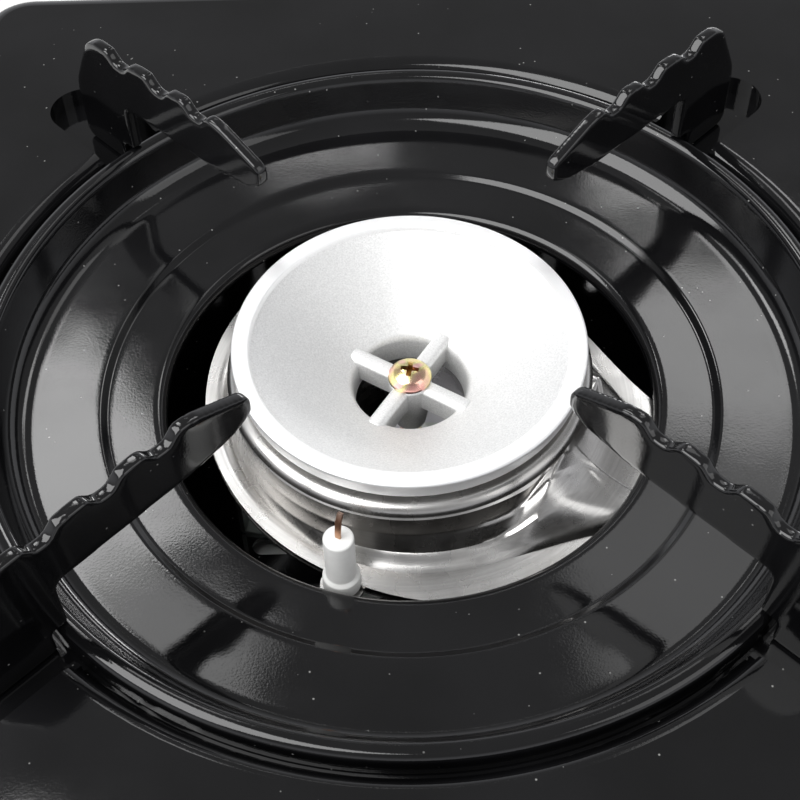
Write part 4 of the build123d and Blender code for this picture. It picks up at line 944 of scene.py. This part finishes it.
class STOVE_OT_electrode(StovePiece, bpy.types.Operator):
    """Ceramic sleeve with its collar, and the flat sparking pin"""
    bl_idname = "stove.electrode"
    bl_label = "Spark Electrode"

    SLEEVE, COLLAR, SLEEVE_TOP, SLEEVE_FOOT = 3.1, 3.98, -4.0, -34.0
    PIN_FOOT, PIN_WIDTH, PIN_AZIMUTH = -37.0, 1.2, 60.0

    def execute(self, context):
        _, _, finish = self.settings(context)
        low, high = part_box("electrode_ceramic")
        place = Vector(((low.x + high.x) / 2, (low.y + high.y) / 2, BURNER.z))
        sleeve = draw_section("ceramic_sleeve", [
            (0.0, self.SLEEVE_TOP), (self.SLEEVE, self.SLEEVE_TOP, 0.55), (3.15, -16.4, 0.5),
            (3.85, -17.2, 0.6), (self.COLLAR, -20.68, 0.3), (self.SLEEVE, -20.7),
            (self.SLEEVE, self.SLEEVE_FOOT, 0.5), (0.0, self.SLEEVE_FOOT)], segments=4)
        spin_section(sleeve, 64)
        to_object_mode()
        shade(sleeve, 40)
        set_down(sleeve, place)
        place_piece(sleeve, "stove", ["electrode_ceramic"], finish["ceramic"])
        pin = draw_section("spark_pin", [
            (-0.3, self.PIN_FOOT), (-0.3, -2.6), (0.1, 0.6), (1.2, 2.6), (1.9, 2.3), (0.8, 0.3),
            (0.3, -2.8), (0.3, self.PIN_FOOT)], closed=True)
        thicken(self.PIN_WIDTH * MM)
        turn_piece(self.PIN_AZIMUTH)
        to_object_mode()
        apply_modifier(pin, "BEVEL", width=0.12 * MM, segments=2, limit_method="ANGLE")
        shade(pin, 40)
        set_down(pin, place)
        place_piece(pin, "stove", ["electrode_pin"], finish["pin"])
        return {"FINISHED"}


class STOVE_OT_plain_pieces(StovePiece, bpy.types.Operator):
    """Finishes of the pieces whose shape comes with the frame"""
    bl_idname = "stove.plain_pieces"
    bl_label = "Casing and Inner Works"

    NODES = {
        "case_enamel": ["top_shell", "canister_lid", "base_plate"],
        "steel": ["burner_lower_shell"],
        "zinc": ["heat_shield", "burner_strap", "burner_stand_left", "burner_stand_back",
                 "burner_stand_front", "regulator_bracket", "nozzle_bracket", "lever_bracket",
                 "canister_slide", "canister_cradle", "lock_lever"],
        "bright_zinc": ["case_screws", "stand_screws", "regulator_screws", "panel_screws",
                        "slide_rivets", "lid_hinge_pins", "lever_pivot_pin", "burner_nut"],
        "die_cast": ["regulator_body", "regulator_cap"],
        "brass": ["gas_nozzle", "valve_spindle"],
        "copper": ["gas_pipe"],
        "plastic": ["control_knob", "lever_grip"],
        "panel": ["front_panel"],
        "igniter": ["piezo_igniter", "ignition_cam", "igniter_plunger"],
        "rubber": ["foot_front_left", "foot_back_left", "foot_front_right", "foot_back_right",
                   "canister_seal", "spark_lead"],
    }

    def execute(self, context):
        _, _, finish = self.settings(context)
        for key, nodes in self.NODES.items():
            for node in nodes:
                for slot in frame["nodes"][node].material_slots:
                    slot.material = finish[key]
        return {"FINISHED"}


class STOVE_OT_stage(StovePiece, bpy.types.Operator):
    """Camera, lamps, room light and floor"""
    bl_idname = "stove.stage"
    bl_label = "Stage"

    CAMERA_RIGHT = Vector((0.99964, -0.02091, -0.01662))
    CAMERA_UP = Vector((0.02671, 0.78266, 0.62188))
    FLOOR_SIZE = 8.0
    CARD_HEIGHT = 0.972         # of the windows and walls that the enamel mirrors
    # name, place, size, brightness and turn; without a turn the lamp faces the burner
    SOFTBOXES = (
        ("key_softbox", (-0.62, -0.20, 0.95), (0.95, 0.95), 5.1, None),
        ("fill_softbox", (0.75, -0.45, 0.80), (0.7, 0.7), 1.3, None),
        ("left_window", (-0.372, 0.655, CARD_HEIGHT), (0.20, 0.25), 7.0, 34),
        ("left_wall", (-0.31, 0.50, CARD_HEIGHT), (0.26, 0.13), 2.6, -25),
        ("right_window", (0.235, 0.765, CARD_HEIGHT), (0.19, 0.19), 4.2, -12),
        ("far_window", (0.205, 0.965, CARD_HEIGHT), (0.13, 0.075), 4.2, -8),
        ("side_window", (0.325, 0.885, CARD_HEIGHT), (0.08, 0.12), 4.0, -16),
        ("right_wall", (0.215, 0.545, CARD_HEIGHT), (0.27, 0.22), 1.25, 8),
        ("back_window", (-0.13, 1.035, CARD_HEIGHT), (0.14, 0.05), 4.0, 6),
        ("low_window", (0.23, 1.16, 0.19), (0.28, 0.11), 8.0, None),
    )

    def execute(self, context):
        scene = context.scene
        stage = scene.stove_stage
        self.add_camera(scene, stage)
        to_object_mode()
        bpy.ops.object.select_all(action="DESELECT")
        bpy.ops.mesh.primitive_grid_add(
            x_subdivisions=12, y_subdivisions=12, size=self.FLOOR_SIZE)
        floor = context.object
        floor.name = "floor"
        floor.data.materials.append(floor_finish("pale_floor", tuple(stage.floor_tone)))
        for softbox in self.SOFTBOXES:
            self.add_softbox(*softbox)
        self.add_room(scene, stage.sky_strength)
        scene.view_settings.view_transform = "Standard"
        return {"FINISHED"}

    def add_camera(self, scene, stage):
        """Camera looking down over the burner from the front."""
        data = bpy.data.cameras.new("camera")
        camera = bpy.data.objects.new("camera", data)
        scene.collection.objects.link(camera)
        back = self.CAMERA_RIGHT.cross(self.CAMERA_UP)
        turn = Matrix((self.CAMERA_RIGHT, self.CAMERA_UP, back)).transposed().to_4x4()
        camera.matrix_world = Matrix.Translation(stage.camera_place) @ turn
        data.lens = stage.lens
        data.sensor_width = 36.0
        data.clip_start = 0.01
        data.clip_end = 50.0
        scene.camera = camera

    def add_softbox(self, name, place, size, brightness, turn):
        """Rectangular lamp of a given surface brightness, facing the burner or straight down."""
        bpy.ops.object.light_add(type="AREA", location=place)
        lamp = bpy.context.object
        lamp.name = name
        lamp.data.shape = "RECTANGLE"
        lamp.data.size, lamp.data.size_y = size
        lamp.data.energy = brightness * math.pi * size[0] * size[1]
        if turn is not None:
            lamp.rotation_euler = (0, 0, math.radians(turn))
        else:
            lamp.rotation_mode = "QUATERNION"
            lamp.rotation_quaternion = (BURNER - Vector(place)).to_track_quat("-Z", "Y")

    def add_room(self, scene, strength):
        """Pale light from the walls, falling off towards a dark ceiling."""
        world = bpy.data.worlds.new("room")
        scene.world = world
        world.use_nodes = True
        tree = world.node_tree
        background = tree.nodes["Background"]
        background.inputs["Strength"].default_value = strength
        direction = tree.nodes.new("ShaderNodeTexCoord")
        split = tree.nodes.new("ShaderNodeSeparateXYZ")
        fade = tree.nodes.new("ShaderNodeValToRGB")
        tree.links.new(direction.outputs["Generated"], split.inputs["Vector"])
        tree.links.new(split.outputs["Z"], fade.inputs["Fac"])
        tree.links.new(fade.outputs["Color"], background.inputs["Color"])
        wall, ceiling = fade.color_ramp.elements
        wall.position, wall.color = 0.25, (0.95, 0.96, 1.0, 1)
        ceiling.position, ceiling.color = 0.55, (0.36, 0.36, 0.365, 1)


class STOVE_PT_panel(bpy.types.Panel):
    """Sidebar panel that lists the stove's pieces"""
    bl_label = "Cassette Stove"
    bl_idname = "STOVE_PT_panel"
    bl_space_type = "VIEW_3D"
    bl_region_type = "UI"
    bl_category = "Stove"

    def draw(self, context):
        layout = self.layout
        scene = context.scene
        for group in (scene.stove_sizes, scene.stove_colours, scene.stove_stage):
            box = layout.box()
            for key in group.bl_rna.properties.keys():
                if key not in ("rna_type", "name"):
                    box.prop(group, key)
        for operator in piece_operators:
            layout.operator(operator.bl_idname)


piece_operators = (
    STOVE_OT_stage, STOVE_OT_burner_head, STOVE_OT_upper_shell, STOVE_OT_burner_screw,
    STOVE_OT_drip_pan, STOVE_OT_pan_arms, STOVE_OT_electrode, STOVE_OT_plain_pieces)
classes = (StoveColours, StoveSizes, StageSettings, *piece_operators, STOVE_PT_panel)


def register():
    for kind in classes:
        bpy.utils.register_class(kind)
    bpy.types.Scene.stove_colours = PointerProperty(type=StoveColours)
    bpy.types.Scene.stove_sizes = PointerProperty(type=StoveSizes)
    bpy.types.Scene.stove_stage = PointerProperty(type=StageSettings)


def unregister():
    del bpy.types.Scene.stove_stage, bpy.types.Scene.stove_sizes, bpy.types.Scene.stove_colours
    for kind in reversed(classes):
        bpy.utils.unregister_class(kind)


def main():
    register()
    bpy.ops.stove.stage()
    bpy.ops.stove.burner_head()
    bpy.ops.stove.upper_shell()
    bpy.ops.stove.burner_screw()
    bpy.ops.stove.drip_pan()
    bpy.ops.stove.pan_arms()
    bpy.ops.stove.electrode()
    bpy.ops.stove.plain_pieces()


if __name__ == "__main__":
    main()
